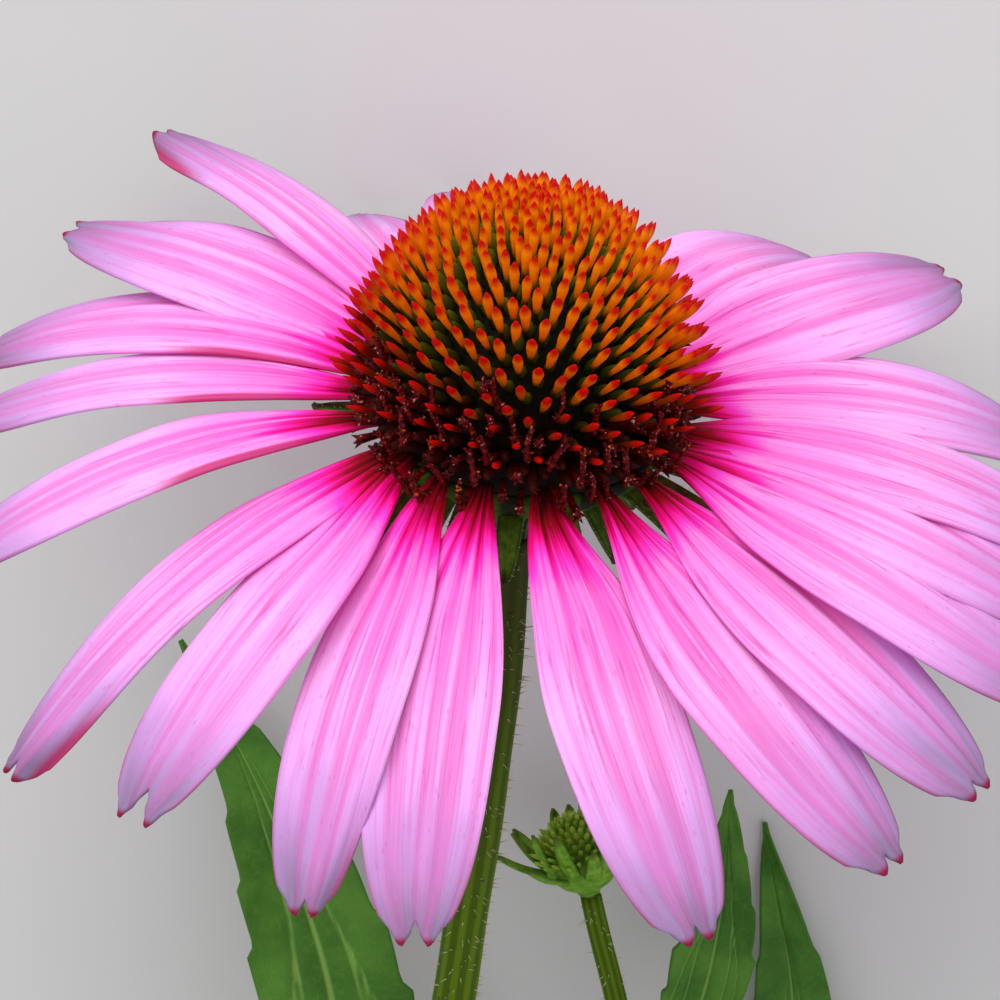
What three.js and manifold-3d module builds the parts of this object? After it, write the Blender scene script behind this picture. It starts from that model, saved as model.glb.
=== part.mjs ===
// A cut flowering stem of a purple coneflower, lying on a flat surface.
// Millimetres, +Z up. The bloom faces -Y, the stem runs back along +Y to its cut end.
import * as THREE from 'three';
import { mergeVertices } from 'three/addons/utils/BufferGeometryUtils.js';
import Module from 'manifold-3d';

const wasm = await Module();
wasm.setup();

// ---------- driving dimensions ----------

const SEED = 20240715;
const CLEARANCE = 0.35;             // kept between two pieces that touch on the plant
const WELD = 1e-4;                  // corners closer than this are one

// Where the bloom sits: its centre is the middle of the cone's widest plane.
const HEAD_HEIGHT = 51;             // above the surface
const HEAD_TILT_DEG = 14;           // how far the cone looks up from level
const HEAD_LEAN_DEG = 4;            // lean of the bloom to one side
const PLANT_SHIFT = [-6.5, -97];    // moves the plant so that its box is centred on the origin

// Ray florets, which grow from a ring under the cone.
const RING_RADIUS = 12.5;
const RING_DROP = 2;                // below the cone's widest plane
const COLLAR = { width: 2.2, height: 1.5, sides: 28, raySunk: 0.55 };
const RAY = {
  thickness: 0.8,
  baseWidth: 0.1,                   // share of the full width at the ring
  widestAt: 0.52,                   // share of the length
  swell: 1.1,                       // how slowly it widens from the ring
  rootShift: 0,                     // how far its root is moved to lower azimuths
  bract: 0,                         // how far its bract is turned to higher azimuths, in degrees
  endTaper: 0.96,                   // how fast it narrows to the tip
  endRound: 2.6,                    // how long it stays wide before that
  endWidth: 0.44,                   // share of the full width at the tip
  toothAt: 0.5,                     // place of the end teeth and grooves, share of the half width
  groove: 0.45,                     // depth of the two long grooves
  edgeDroop: 0.7,                   // how far the side edges curl under
  toothCut: 0.056,                  // share of the length between the two end teeth
  shoulderCut: 0.06,
  shifted: [0.03, 0.33],            // stretch of the length where the root's shift fades out
  alongSteps: 8,
  acrossSteps: 4,
  bendSteps: 24,                    // places where its bend is worked out
};
// Each ray: azimuth round the cone, rise at the ring and at the tip, length, width, sideways
// bend and roll, and what is its own. Angles in degrees, counted from the -X side towards the
// surface.
const RAYS = [
  [18, 9, -35, 43, 12, 0, 6],
  [37.5, 12.5, -13, 41.5, 14, 4, 6],
  [57, 20, -34, 42.5, 12, -2, 4],
  [75, 4, -52, 42, 11.5, 0, 0],
  [95.7, 12, -22, 40, 11, 0, 0],
  [108, 10, -27, 41, 11, -5, 0],
  [125, 19, -6, 44.5, 10, 10, 4],
  [141, 15, -15, 41.5, 12.4, 7, -16],
  [152, 13, -40, 46.5, 10.5, 7, -14],
  [166, 5, -33, 42.5, 9.4, 6, -8],
  [186, 1, -44, 44, 11.1, 7, -4, { bract: -10 }],
  [207.4, -15, -53, 46, 9.5, 6.5, 0, { baseWidth: 0.16, widestAt: 0.38, swell: 0.8, rootShift: -0.4 }],
  [225, -17, -42, 42.5, 10.8, 12.5, 0, { baseWidth: 0.12, swell: 1, rootShift: 1.4, bract: -5 }],
  [241, -24, -48, 43, 9.3, 22.5, 0, { baseWidth: 0.12, swell: 1, rootShift: 1, bract: -7 }],
  [255, -28, -46, 43, 11, 17, 0, { bract: -7 }],
  [284, -26, -42, 43.5, 11.8, 18, 0, { baseWidth: 0.14, rootShift: 1.2 }],
  [302.5, -19, -34, 44, 12.4, 21, 0, { swell: 1.5, bract: -11.5 }],
  [318.8, -13, -32, 42.9, 12.9, 9, 0, { swell: 1.5, rootShift: -0.5, bract: -8 }],
  [333, -5, -27, 43, 12, 2, 0, { swell: 1.5, rootShift: -1.5, bract: -3 }],
  [345, 2, -34, 43, 12, 2, 0],
  [358, 7, -36, 43, 12, 0, 0],
];

// Disc: a solid core with stiff scales standing out of it.
const CORE = { radius: 12, footRadius: 11.4, height: 16.4, bottom: -0.8, sides: 16, rings: 5 };
const GOLDEN_TURN_DEG = 180 * (3 - Math.sqrt(5));
const SCALE = {
  count: 172,
  lowest: 0.05,                     // share of the core's height where the lowest scales root
  lengthLow: 6.2,
  lengthTop: 4.4,
  rootHalfWidth: 0.8,
  shoulderHalfWidth: 1.02,
  shoulderAt: 0.62,
  sunk: 1.4,
  liftLow: 0.19,                    // how far a scale turns from the core's normal to the axis
  liftTop: 0.55,
  sides: 4,
};

// Green cup under the bloom, with pointed bracts in two rows. Its outline is radius and drop
// below the cone's widest plane.
const CUP = {
  neckDrop: 13.4,
  outline: [[0, 13.4], [1.9, 13.4], [2.4, 11.2], [5.6, 9], [9.6, 6.6], [11.9, 4.4], [11.9, 3.25], [0, 3.25]],
  sides: 16,
};
const BRACT = {
  thickness: 0.7,
  alongSteps: 3,
  acrossSteps: 2,
  rootWidth: 0.8,                   // share of the full width where it leaves the cup
  swell: 0.5,                       // how much it would widen if it had no point
  tipWidth: 0.16,
  edgeLift: 0.25,
};
const UPPER_BRACT = { rootRadius: 10.6, rootDrop: 5.2, length: 11, width: 2.7, droop: 14 };
const UPPER_BRACT_BELOW_RAY_DEG = 18;
const LOWER_BRACT = { rootRadius: 7.4, rootDrop: 6.6, length: 7, width: 2.9, droop: 14 };
const LOWER_BRACTS = { count: 13, rise: -46, firstAt: 0.6 };

// Stem: its route from under the cup to the cut end, and its half thickness.
const STEM = { startRadius: 1.9, endRadius: 2.7, sides: 8, steps: 24, straight: 18 };
const STEM_ROUTE = [
  [6.6, 64, 36],
  [12.5, 105, 25],
  [19.5, 148, 13.4],
  [26, 186, 5],
  [29.5, 214, 2.75],
];

// Where a leaf or shoot leaves its stem: share of the stem's length, right (1) or left (-1)
// of the way the stem runs, and the angle above (+) or below (-) level round it.
const LEAF = {
  thickness: 0.8,
  alongSteps: 16,
  acrossSteps: 4,
  stalk: 0.1,                       // share of the length that is stalk
  stalkWidth: 0.14,                 // share of the full width
  tipWidth: 0.05,
  widestAt: 0.36,                   // share of the blade
  fold: 0.16,                       // how far the edges lift from the midrib
  foldRound: 1.5,                   // how late across the blade they lift
  toothed: [0.2, 0.95],             // stretch of the edge that has teeth
  toothCut: 0.16,                   // depth of a notch, share of the half width
};
const LEAVES = [
  {
    name: 'leaf_1',
    width: 16,
    roll: 8,
    root: { share: 0.52, side: 1, angle: -10 },
    route: [[19, 98, 19], [18.5, 74, 15], [25, 54, 9.5], [34, 37, 5]],
  },
  {
    name: 'leaf_2',
    width: 19,
    roll: -4,
    root: { share: 0.68, side: -1, angle: -35 },
    route: [[-3, 132, 5.8], [-20, 108, 4.4], [-28, 82, 3.6], [-25, 58, 0.5]],
  },
  {
    name: 'leaf_3',
    width: 21,
    roll: 0,
    root: { share: 0.85, side: 1, angle: 10 },
    route: [[39, 168, 7], [51, 145, 6.4], [59, 124, 3.4], [64, 104, 0.45]],
  },
];

// Side shoot from the axil of the second leaf, with one small leaf and a closed green bud.
const SHOOT = { startRadius: 1.45, endRadius: 1.1, sides: 7, steps: 14 };
const SHOOT_ROOT = { share: 0.675, side: -1, angle: 35 };
const SHOOT_ROUTE = [
  [4, 128, 13.4],
  [-7, 106, 12],
  [-10.5, 80, 10.6],
  [-7, 62, 11],
];
const SHOOT_LEAF = {
  name: 'shoot_leaf',
  width: 8,
  roll: 0,
  root: { share: 0.78, side: 1, angle: 0 },
  route: [[-17, 76, 12.6], [-20, 64, 12.4], [-21, 51, 10.4]],
};
const BUD = {
  cupRadius: 3.9,
  cupHeight: 3.6,
  domeHeight: 4.2,
  sides: 12,
  scales: 26,
  bracts: 9,
  cup: [[2.6, 1.2], [3.9, 2.8], [3.9, 3.6]],        // radius and height
  dome: [[0.86, 0.5], [0.5, 0.88], [0, 1]],         // shares of the cup's radius and the dome's height
  scaleRoot: 0.9,                                   // share of the dome where its scales root
};
const BUD_BRACT = { rootRadius: 3, rootDrop: -2.5, length: 7.5, width: 2.2, droop: -34 };
const BUD_BRACT_RISE = { low: 14, high: 24 };
const BUD_SCALE = {
  length: 2.2,
  sides: 3,
  sunk: 0.8,
  rootHalfWidth: 0.42,
  shoulderHalfWidth: 0.5,
  shoulderAt: 0.5,
};
const BUD_SCALE_LOWEST_DEG = 8;     // above level

// ---------- materials ----------

const finish = (color, roughness) => new THREE.MeshStandardMaterial({ color, roughness, metalness: 0 });
const rayPink = finish(0xee7cc8, 0.55);
const coneOrange = finish(0xc8500f, 0.45);
const bractGreen = finish(0x55702c, 0.65);
const stemGreen = finish(0x6a8236, 0.7);
const leafGreen = finish(0x4b7d2c, 0.6);

// ---------- small tools ----------

const radians = THREE.MathUtils.degToRad;
const vector = (coordinates) => new THREE.Vector3(...coordinates);

const RANDOM = { factor: 1664525, step: 1013904223, range: 4294967296 };

/** Repeatable random numbers from 0 to 1. */
function randomSource(seed) {
  let state = seed;
  return () => {
    state = (state * RANDOM.factor + RANDOM.step) % RANDOM.range;
    return state / RANDOM.range;
  };
}

/** A three.js geometry as a manifold solid: shared vertices merged, flat triangles dropped. */
function toSolid(geometry) {
  const bare = geometry.clone();
  bare.deleteAttribute('normal');
  bare.deleteAttribute('uv');
  const merged = mergeVertices(bare, WELD);
  const corners = merged.index.array;
  const triVerts = [];
  for (let i = 0; i < corners.length; i += 3) {
    const [a, b, c] = [corners[i], corners[i + 1], corners[i + 2]];
    if (a !== b && b !== c && c !== a) triVerts.push(a, b, c);
  }
  const vertProperties = new Float32Array(merged.attributes.position.array);
  const mesh = new wasm.Mesh({ numProp: 3, vertProperties, triVerts: new Uint32Array(triVerts) });
  return new wasm.Manifold(mesh);
}

/** One geometry from a manifold solid. */
function toGeometry(solid) {
  const { vertProperties, triVerts } = solid.getMesh();
  const geometry = new THREE.BufferGeometry();
  geometry.setAttribute('position', new THREE.BufferAttribute(vertProperties, 3));
  geometry.setIndex(new THREE.BufferAttribute(triVerts, 1));
  return geometry;
}

/** Geometries grown together as one body, joined in pairs. */
function fuse(geometries) {
  let layer = geometries.map(toSolid);
  while (layer.length > 1) {
    const joined = [];
    for (let i = 0; i < layer.length; i += 2) {
      joined.push(i + 1 < layer.length ? layer[i].add(layer[i + 1]) : layer[i]);
    }
    layer = joined;
  }
  return toGeometry(layer[0]);
}

function piece(name, geometry, material) {
  geometry.computeVertexNormals();
  const mesh = new THREE.Mesh(geometry, material);
  mesh.name = name;
  return mesh;
}

/**
 * A closed blade over a grid. place(along, across) gives the middle of the blade and its
 * normal, for along from 0 to 1 and across from -1 to 1. Both faces share one split.
 */
function bladeSolid(alongSteps, acrossSteps, thickness, place) {
  const grid = new THREE.PlaneGeometry(2, 1, acrossSteps, alongSteps);
  const count = grid.attributes.position.count;
  const top = [];
  const under = [];
  for (let i = 0; i < count; i += 1) {
    const along = grid.attributes.position.getY(i) + 0.5;
    const { point, normal } = place(along, grid.attributes.position.getX(i));
    top.push(...point.clone().addScaledVector(normal, thickness / 2));
    under.push(...point.clone().addScaledVector(normal, -thickness / 2));
  }
  const faces = grid.index.array;
  const index = [...faces];
  for (let i = 0; i < faces.length; i += 3) {
    index.push(faces[i + 2] + count, faces[i + 1] + count, faces[i] + count);
  }
  const rim = gridRim(acrossSteps + 1, alongSteps + 1);
  rim.forEach((corner, i) => {
    const next = rim[(i + 1) % rim.length];
    index.push(corner + count, next + count, next, corner + count, next, corner);
  });
  const blade = new THREE.BufferGeometry();
  blade.setAttribute('position', new THREE.Float32BufferAttribute([...top, ...under], 3));
  blade.setIndex(index);
  return blade;
}

/** The corners round a grid of columns by rows, counter-clockwise seen from its top face. */
function gridRim(columns, rows) {
  const rim = [];
  for (let row = 0; row < rows - 1; row += 1) rim.push(row * columns);
  for (let column = 0; column < columns - 1; column += 1) rim.push((rows - 1) * columns + column);
  for (let row = rows - 1; row > 0; row -= 1) rim.push(row * columns + columns - 1);
  for (let column = columns - 1; column > 0; column -= 1) rim.push(column);
  return rim;
}

/** A round bar with flat ends, bent along a curve and tapered from one radius to the other. */
function bentBar(curve, { startRadius, endRadius, sides, steps }) {
  const bar = new THREE.CylinderGeometry(1, 1, 1, sides, steps);
  const { tangents, normals } = curve.computeFrenetFrames(steps);
  const spots = bar.attributes.position;
  for (let i = 0; i < spots.count; i += 1) {
    const step = Math.round((spots.getY(i) + 0.5) * steps);
    const radius = THREE.MathUtils.lerp(startRadius, endRadius, step / steps);
    const side = new THREE.Vector3().crossVectors(normals[step], tangents[step]);
    const spot = curve.getPointAt(step / steps);
    spot.addScaledVector(normals[step], spots.getX(i) * radius);
    spot.addScaledVector(side, spots.getZ(i) * radius);
    spots.setXYZ(i, spot.x, spot.y, spot.z);
  }
  return bar;
}

/** A slim scale from its root along a direction, with a pointed tip and a few flat sides. */
function pointedScale(root, direction, length, size) {
  const profile = [
    new THREE.Vector2(0, -size.sunk),
    new THREE.Vector2(size.rootHalfWidth, -size.sunk),
    new THREE.Vector2(size.shoulderHalfWidth, length * size.shoulderAt),
    new THREE.Vector2(0, length),
  ];
  const scale = new THREE.LatheGeometry(profile, size.sides);
  scale.applyQuaternion(new THREE.Quaternion().setFromUnitVectors(new THREE.Vector3(0, 1, 0), direction));
  scale.translate(root.x, root.y, root.z);
  return scale;
}

// ---------- the bloom, in its own frame: z along the cone's axis ----------

/** Direction at an azimuth and a rise above the ring's plane, both in degrees. */
function heading(azimuth, rise) {
  const flat = Math.cos(radians(rise));
  return new THREE.Vector3(
    flat * Math.cos(radians(azimuth)),
    flat * Math.sin(radians(azimuth)),
    Math.sin(radians(rise)),
  );
}

/** Points and frames along a blade that starts at root and bends steadily. */
function blade(root, azimuth, riseStart, riseEnd, length, bend, roll, steps) {
  const stations = [];
  const point = root.clone();
  for (let step = 0; step <= steps; step += 1) {
    const share = step / steps;
    const turned = azimuth + bend * share;
    const along = heading(turned, THREE.MathUtils.lerp(riseStart, riseEnd, share));
    const across = heading(turned + 90, 0).applyAxisAngle(along, radians(roll));
    const normal = new THREE.Vector3().crossVectors(along, across);
    stations.push({ point: point.clone(), across, normal });
    point.addScaledVector(along, length / steps);
  }
  return stations;
}

/** A place between two stations of a blade. */
function stationAt(stations, share) {
  const exact = Math.min(Math.max(share, 0), 1) * (stations.length - 1);
  const low = Math.min(Math.floor(exact), stations.length - 2);
  const mix = exact - low;
  const [from, to] = [stations[low], stations[low + 1]];
  return {
    point: from.point.clone().lerp(to.point, mix),
    across: from.across.clone().lerp(to.across, mix).normalize(),
    normal: from.normal.clone().lerp(to.normal, mix).normalize(),
  };
}

/** Share of a ray's full width at a share of its length. */
function rayWidth(share, { baseWidth, widestAt, swell }) {
  if (share < widestAt) {
    return baseWidth + (1 - baseWidth) * Math.sin((share / widestAt) * (Math.PI / 2)) ** swell;
  }
  const past = (share - widestAt) / (1 - widestAt);
  return Math.sqrt(Math.max(RAY.endWidth ** 2, 1 - RAY.endTaper * past ** RAY.endRound));
}

/** How far the end of a ray reaches at each place across: two teeth and low shoulders. */
function rayEnd(across) {
  const reach = Math.abs(across);
  if (reach < RAY.toothAt) return 1 - RAY.toothCut * (1 - reach / RAY.toothAt);
  return 1 - RAY.shoulderCut * ((reach - RAY.toothAt) / (1 - RAY.toothAt));
}

/** The numbers of one ray's form: those of all rays, with what is its own. */
function rayForm([, , , , , , , own]) {
  return { ...RAY, ...own };
}

function rayFloret(ray) {
  const [azimuth, riseStart, riseEnd, length, width, bend, roll] = ray;
  const form = rayForm(ray);
  const root = heading(azimuth, 0).multiplyScalar(RING_RADIUS - COLLAR.raySunk);
  root.z = -RING_DROP;
  const stations = blade(root, azimuth, riseStart, riseEnd, length, bend, roll, RAY.bendSteps);
  return bladeSolid(RAY.alongSteps, RAY.acrossSteps, RAY.thickness, (along, across) => {
    const share = along * rayEnd(across);
    const { point, across: side, normal } = stationAt(stations, share);
    const full = rayWidth(share, form);
    const shift = form.rootShift * (1 - THREE.MathUtils.smoothstep(share, ...RAY.shifted));
    const inGroove = Math.abs(across) === RAY.toothAt;
    const relief = -full * (inGroove ? RAY.groove : RAY.edgeDroop * across * across);
    point.addScaledVector(side, -across * (width / 2) * full - shift).addScaledVector(normal, relief);
    return { point, normal };
  });
}

function rayFlorets() {
  const inner = RING_RADIUS - COLLAR.width / 2;
  const outer = RING_RADIUS + COLLAR.width / 2;
  const low = -RING_DROP - COLLAR.height / 2;
  const high = -RING_DROP + COLLAR.height / 2;
  const section = [[inner, low], [outer, low], [outer, high], [inner, high], [inner, low]];
  const collar = new THREE.LatheGeometry(section.map(([r, y]) => new THREE.Vector2(r, y)), COLLAR.sides);
  collar.rotateX(Math.PI / 2);
  return piece('ray_florets', fuse([collar, ...RAYS.map(rayFloret)]), rayPink);
}

/** A place on the core: z from its bottom to its top, with the outward normal. */
function onCore(azimuth, z) {
  const height = CORE.height;
  const reach = CORE.radius * Math.sqrt(Math.max(0, 1 - (z / height) ** 2));
  const spoke = heading(azimuth, 0);
  const normal = spoke.clone().multiplyScalar(reach / CORE.radius ** 2);
  normal.z = z / height ** 2;
  const point = spoke.multiplyScalar(reach);
  point.z = z;
  return { point, normal: normal.normalize() };
}

function discCone() {
  const profile = [new THREE.Vector2(0, CORE.bottom), new THREE.Vector2(CORE.footRadius, CORE.bottom)];
  for (let ring = 0; ring < CORE.rings; ring += 1) {
    const turn = (ring / CORE.rings) * (Math.PI / 2);
    profile.push(new THREE.Vector2(CORE.radius * Math.cos(turn), CORE.height * Math.sin(turn)));
  }
  profile.push(new THREE.Vector2(0, CORE.height));
  const core = new THREE.LatheGeometry(profile, CORE.sides);
  core.rotateX(Math.PI / 2);
  const parts = [core];
  for (let i = 0; i < SCALE.count; i += 1) {
    const upright = THREE.MathUtils.lerp(SCALE.lowest, 1, 1 - (i + 0.5) / SCALE.count);
    const { point, normal } = onCore(i * GOLDEN_TURN_DEG, CORE.height * upright);
    const lifted = normal.clone().add(new THREE.Vector3(0, 0, SCALE.liftLow + SCALE.liftTop * upright));
    const length = THREE.MathUtils.lerp(SCALE.lengthLow, SCALE.lengthTop, upright);
    parts.push(pointedScale(point, lifted.normalize(), length, SCALE));
  }
  return piece('disc_cone', fuse(parts), coneOrange);
}

/** One pointed bract that leaves the cup at an azimuth and bends further down. */
function bract(azimuth, rise, { rootRadius, rootDrop, length, width, droop }) {
  const root = heading(azimuth, 0).multiplyScalar(rootRadius);
  root.z = -rootDrop;
  const stations = blade(root, azimuth, rise, rise - droop, length, 0, 0, BRACT.alongSteps);
  return bladeSolid(BRACT.alongSteps, BRACT.acrossSteps, BRACT.thickness, (along, across) => {
    const { point, across: side, normal } = stationAt(stations, along);
    const pointed = Math.sqrt(1 - along) * (BRACT.rootWidth + BRACT.swell * along);
    const half = (width / 2) * Math.max(BRACT.tipWidth, pointed);
    point.addScaledVector(side, -across * half).addScaledVector(normal, BRACT.edgeLift * Math.abs(across));
    return { point, normal };
  });
}

function involucre() {
  const outline = CUP.outline.map(([radius, drop]) => new THREE.Vector2(radius, -drop));
  const cup = new THREE.LatheGeometry(outline, CUP.sides);
  cup.rotateX(Math.PI / 2);
  const parts = [cup];
  RAYS.forEach((ray) => {
    const [azimuth, riseStart] = ray;
    parts.push(bract(azimuth + rayForm(ray).bract, riseStart - UPPER_BRACT_BELOW_RAY_DEG, UPPER_BRACT));
  });
  const { count, rise, firstAt } = LOWER_BRACTS;
  for (let i = 0; i < count; i += 1) parts.push(bract((360 * (i + firstAt)) / count, rise, LOWER_BRACT));
  return piece('involucre', fuse(parts), bractGreen);
}

function makeBloom() {
  const bloom = new THREE.Group();
  bloom.rotation.set(Math.PI / 2 - radians(HEAD_TILT_DEG), -radians(HEAD_LEAN_DEG), Math.PI);
  bloom.position.set(0, 0, HEAD_HEIGHT);
  bloom.add(rayFlorets(), discCone(), involucre());
  bloom.updateMatrixWorld(true);
  return bloom;
}

// ---------- stem, leaves and side shoot ----------

const throughPoints = (points) => new THREE.CatmullRomCurve3(points, false, 'centripetal');

function stemCurve(bloom) {
  const start = bloom.localToWorld(new THREE.Vector3(0, 0, -CUP.neckDrop - CLEARANCE));
  const after = bloom.localToWorld(new THREE.Vector3(0, 0, -CUP.neckDrop - STEM.straight));
  return throughPoints([start, after, ...STEM_ROUTE.map(vector)]);
}

/** The point just off a bent bar where something as thick as reach leaves it. */
function beside(curve, { startRadius, endRadius }, { share, side, angle }, reach) {
  const along = curve.getTangentAt(share);
  const level = new THREE.Vector3(along.y, -along.x, 0).normalize().multiplyScalar(side);
  const upright = new THREE.Vector3(0, 0, 1).addScaledVector(along, -along.z).normalize();
  const outward = level.multiplyScalar(Math.cos(radians(angle)));
  outward.addScaledVector(upright, Math.sin(radians(angle)));
  const radius = THREE.MathUtils.lerp(startRadius, endRadius, share);
  return curve.getPointAt(share).addScaledVector(outward, radius + CLEARANCE + reach);
}

/** Share of a leaf's full width at a share of its length: a stalk, then a pointed blade. */
function leafWidth(share) {
  if (share <= LEAF.stalk) return LEAF.stalkWidth;
  const blade = (share - LEAF.stalk) / (1 - LEAF.stalk);
  const swell = Math.sin(Math.PI * blade ** (Math.log(0.5) / Math.log(LEAF.widestAt)));
  return Math.max(LEAF.tipWidth, LEAF.stalkWidth * (1 - blade) + swell);
}

/** A leaf with toothed edges along the route of its midrib, folded a little along it. */
function makeLeaf({ name, width, roll, root, route }, carrier, bar) {
  const start = beside(carrier, bar, root, (width / 2) * LEAF.stalkWidth);
  const midrib = throughPoints([start, ...route.map(vector)]);
  const blade = bladeSolid(LEAF.alongSteps, LEAF.acrossSteps, LEAF.thickness, (along, across) => {
    const point = midrib.getPointAt(along);
    const forward = midrib.getTangentAt(along);
    const side = new THREE.Vector3().crossVectors(forward, new THREE.Vector3(0, 0, 1)).normalize();
    side.applyAxisAngle(forward, radians(roll));
    const normal = new THREE.Vector3().crossVectors(side, forward);
    const station = Math.round(along * LEAF.alongSteps);
    const onEdge = Math.abs(across) === 1 && along > LEAF.toothed[0] && along < LEAF.toothed[1];
    const tooth = onEdge && station % 2 === 0 ? 1 - LEAF.toothCut : 1;
    const half = (width / 2) * leafWidth(along) * tooth;
    const lift = LEAF.fold * half * Math.abs(across) ** LEAF.foldRound;
    point.addScaledVector(side, across * half).addScaledVector(normal, lift);
    return { point, normal };
  });
  return piece(name, blade, leafGreen);
}

function makeShoot(stem) {
  const start = beside(stem, STEM, SHOOT_ROOT, SHOOT.startRadius);
  const shoot = throughPoints([start, ...SHOOT_ROUTE.map(vector)]);
  const bud = makeBud();
  const outward = shoot.getTangentAt(1);
  bud.quaternion.setFromUnitVectors(new THREE.Vector3(0, 0, 1), outward);
  bud.position.copy(shoot.getPointAt(1)).addScaledVector(outward, CLEARANCE);
  return [piece('side_shoot', bentBar(shoot, SHOOT), stemGreen), makeLeaf(SHOOT_LEAF, shoot, SHOOT), bud];
}

/** The green bud, standing on its origin and opening along +Z. */
function makeBud() {
  const { cupRadius, cupHeight, domeHeight, sides, scales, bracts } = BUD;
  const outline = [
    [0, 0], [SHOOT.endRadius, 0], ...BUD.cup,
    ...BUD.dome.map(([wide, high]) => [cupRadius * wide, cupHeight + domeHeight * high]),
  ];
  const core = new THREE.LatheGeometry(outline.map(([r, y]) => new THREE.Vector2(r, y)), sides);
  core.rotateX(Math.PI / 2);
  const parts = [core];
  const random = randomSource(SEED);
  for (let i = 0; i < bracts; i += 1) {
    const rise = THREE.MathUtils.lerp(BUD_BRACT_RISE.low, BUD_BRACT_RISE.high, random());
    parts.push(bract((360 * i) / bracts, rise, BUD_BRACT));
  }
  for (let i = 0; i < scales; i += 1) {
    const rise = 90 - (90 - BUD_SCALE_LOWEST_DEG) * Math.sqrt((i + 0.5) / scales);
    const direction = heading(i * GOLDEN_TURN_DEG, rise);
    const root = direction.clone().multiply(new THREE.Vector3(cupRadius, cupRadius, domeHeight));
    root.multiplyScalar(BUD.scaleRoot).z += cupHeight;
    parts.push(pointedScale(root, direction, BUD_SCALE.length, BUD_SCALE));
  }
  return piece('bud', fuse(parts), bractGreen);
}

// ---------- the plant ----------

const plant = new THREE.Group();
const bloom = makeBloom();
const stem = stemCurve(bloom);
plant.add(bloom, piece('stem', bentBar(stem, STEM), stemGreen));
plant.add(...LEAVES.map((leaf) => makeLeaf(leaf, stem, STEM)), ...makeShoot(stem));
plant.position.set(...PLANT_SHIFT, 0);

export default plant;
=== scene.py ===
"""A cut flowering stem of a purple coneflower, lying on a pale surface.

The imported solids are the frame, and finer pieces of the same form stand for them: ray
florets, cone scales, disc florets, bracts, ribbed and bristly stems, veined leaves and a bud.
Shapes are worked out in millimetres and put into the frame's metres as each piece is finished.
"""

import logging
import math
import random
from dataclasses import dataclass, field
from enum import Enum
from typing import Callable, Iterable, Sequence, Union

import bmesh
import bpy
from mathutils import Matrix, Vector


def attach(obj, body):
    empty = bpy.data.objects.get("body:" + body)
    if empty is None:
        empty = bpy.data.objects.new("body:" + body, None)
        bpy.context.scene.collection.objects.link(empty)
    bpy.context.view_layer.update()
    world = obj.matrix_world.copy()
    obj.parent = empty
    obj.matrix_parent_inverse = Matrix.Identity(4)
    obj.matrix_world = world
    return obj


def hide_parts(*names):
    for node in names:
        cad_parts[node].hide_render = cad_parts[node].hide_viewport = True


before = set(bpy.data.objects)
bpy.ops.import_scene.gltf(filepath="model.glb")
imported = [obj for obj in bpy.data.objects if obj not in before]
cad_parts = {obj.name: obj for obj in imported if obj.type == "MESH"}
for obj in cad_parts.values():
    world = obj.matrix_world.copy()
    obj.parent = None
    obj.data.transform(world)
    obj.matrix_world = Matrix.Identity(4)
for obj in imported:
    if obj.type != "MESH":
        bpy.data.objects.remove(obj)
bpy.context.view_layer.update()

log = logging.getLogger("coneflower")

BODY = "root"
SEED = 20240715
METRES_PER_MM = 0.001
PLANT_SHIFT = Vector((-6.5, -97.0, 0.0))
TO_FRAME = Matrix.Scale(METRES_PER_MM, 4) @ Matrix.Translation(PLANT_SHIFT)
UP = Vector((0, 0, 1))
GOLDEN_TURN = math.pi * (3 - math.sqrt(5))
ABOUT_A_TURN = 6.28  # radians, for random turns and the starts of waves
MERGE_MM = 0.0005
CLEARANCE_MM = 0.35
SMALLEST = 1e-6

Placed = tuple[Vector, dict[str, float]]
Placing = Callable[[float, float], Placed]
Outline = Sequence[tuple[float, float]]


class Slot(Enum):
    """The record's material slots."""

    PETAL = "petal"
    CONE = "cone"
    BRACT = "bract"
    STEM = "stem"
    LEAF = "leaf"


# ---------- numbers and directions ----------


def lerp(start: float, end: float, share: float) -> float:
    """Returns the number at a share of the way from start to end."""
    return start + (end - start) * share


def clamp(value: float, low: float = 0.0, high: float = 1.0) -> float:
    """Returns value kept between low and high."""
    return min(max(value, low), high)


def smooth(value: float, low: float = 0.0, high: float = 1.0) -> float:
    """Returns 0 below low and 1 above high, with a soft step between."""
    share = clamp((value - low) / (high - low))
    return share * share * (3 - 2 * share)


def bell(value: float, centre: float, width: float) -> float:
    """Returns a rounded bump of height 1 at centre, about width wide to each side."""
    return math.exp(-(((value - centre) / width) ** 2))


def heading(azimuth: float, rise: float) -> Vector:
    """Returns the direction at an azimuth and a rise, both in degrees."""
    turn, lift = math.radians(azimuth), math.radians(rise)
    return Vector((math.cos(lift) * math.cos(turn), math.cos(lift) * math.sin(turn), math.sin(lift)))


def turned_to(direction: Vector, upper: Vector) -> Matrix:
    """Makes the turn that points +Z along a direction.

    Args:
        direction: where +Z goes.
        upper: the side that +Y is kept nearest to.

    Returns:
        The 4x4 turn.
    """
    z_axis = direction.normalized()
    x_axis = upper.cross(z_axis)
    if x_axis.length < SMALLEST:
        x_axis = Vector((1, 0, 0))
    x_axis.normalize()
    return Matrix((x_axis, z_axis.cross(x_axis), z_axis)).transposed().to_4x4()


def stood(point: Vector, along: Vector, upper: Vector = UP) -> Matrix:
    """Returns the place at a point where +Z runs along a direction and +Y stays nearest to upper."""
    return Matrix.Translation(point) @ turned_to(along, upper)


def jolt(chance: random.Random, size: float) -> Vector:
    """Returns a small random move, as likely one way as another."""
    return Vector([chance.gauss(0, size) for _ in range(3)])


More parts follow.
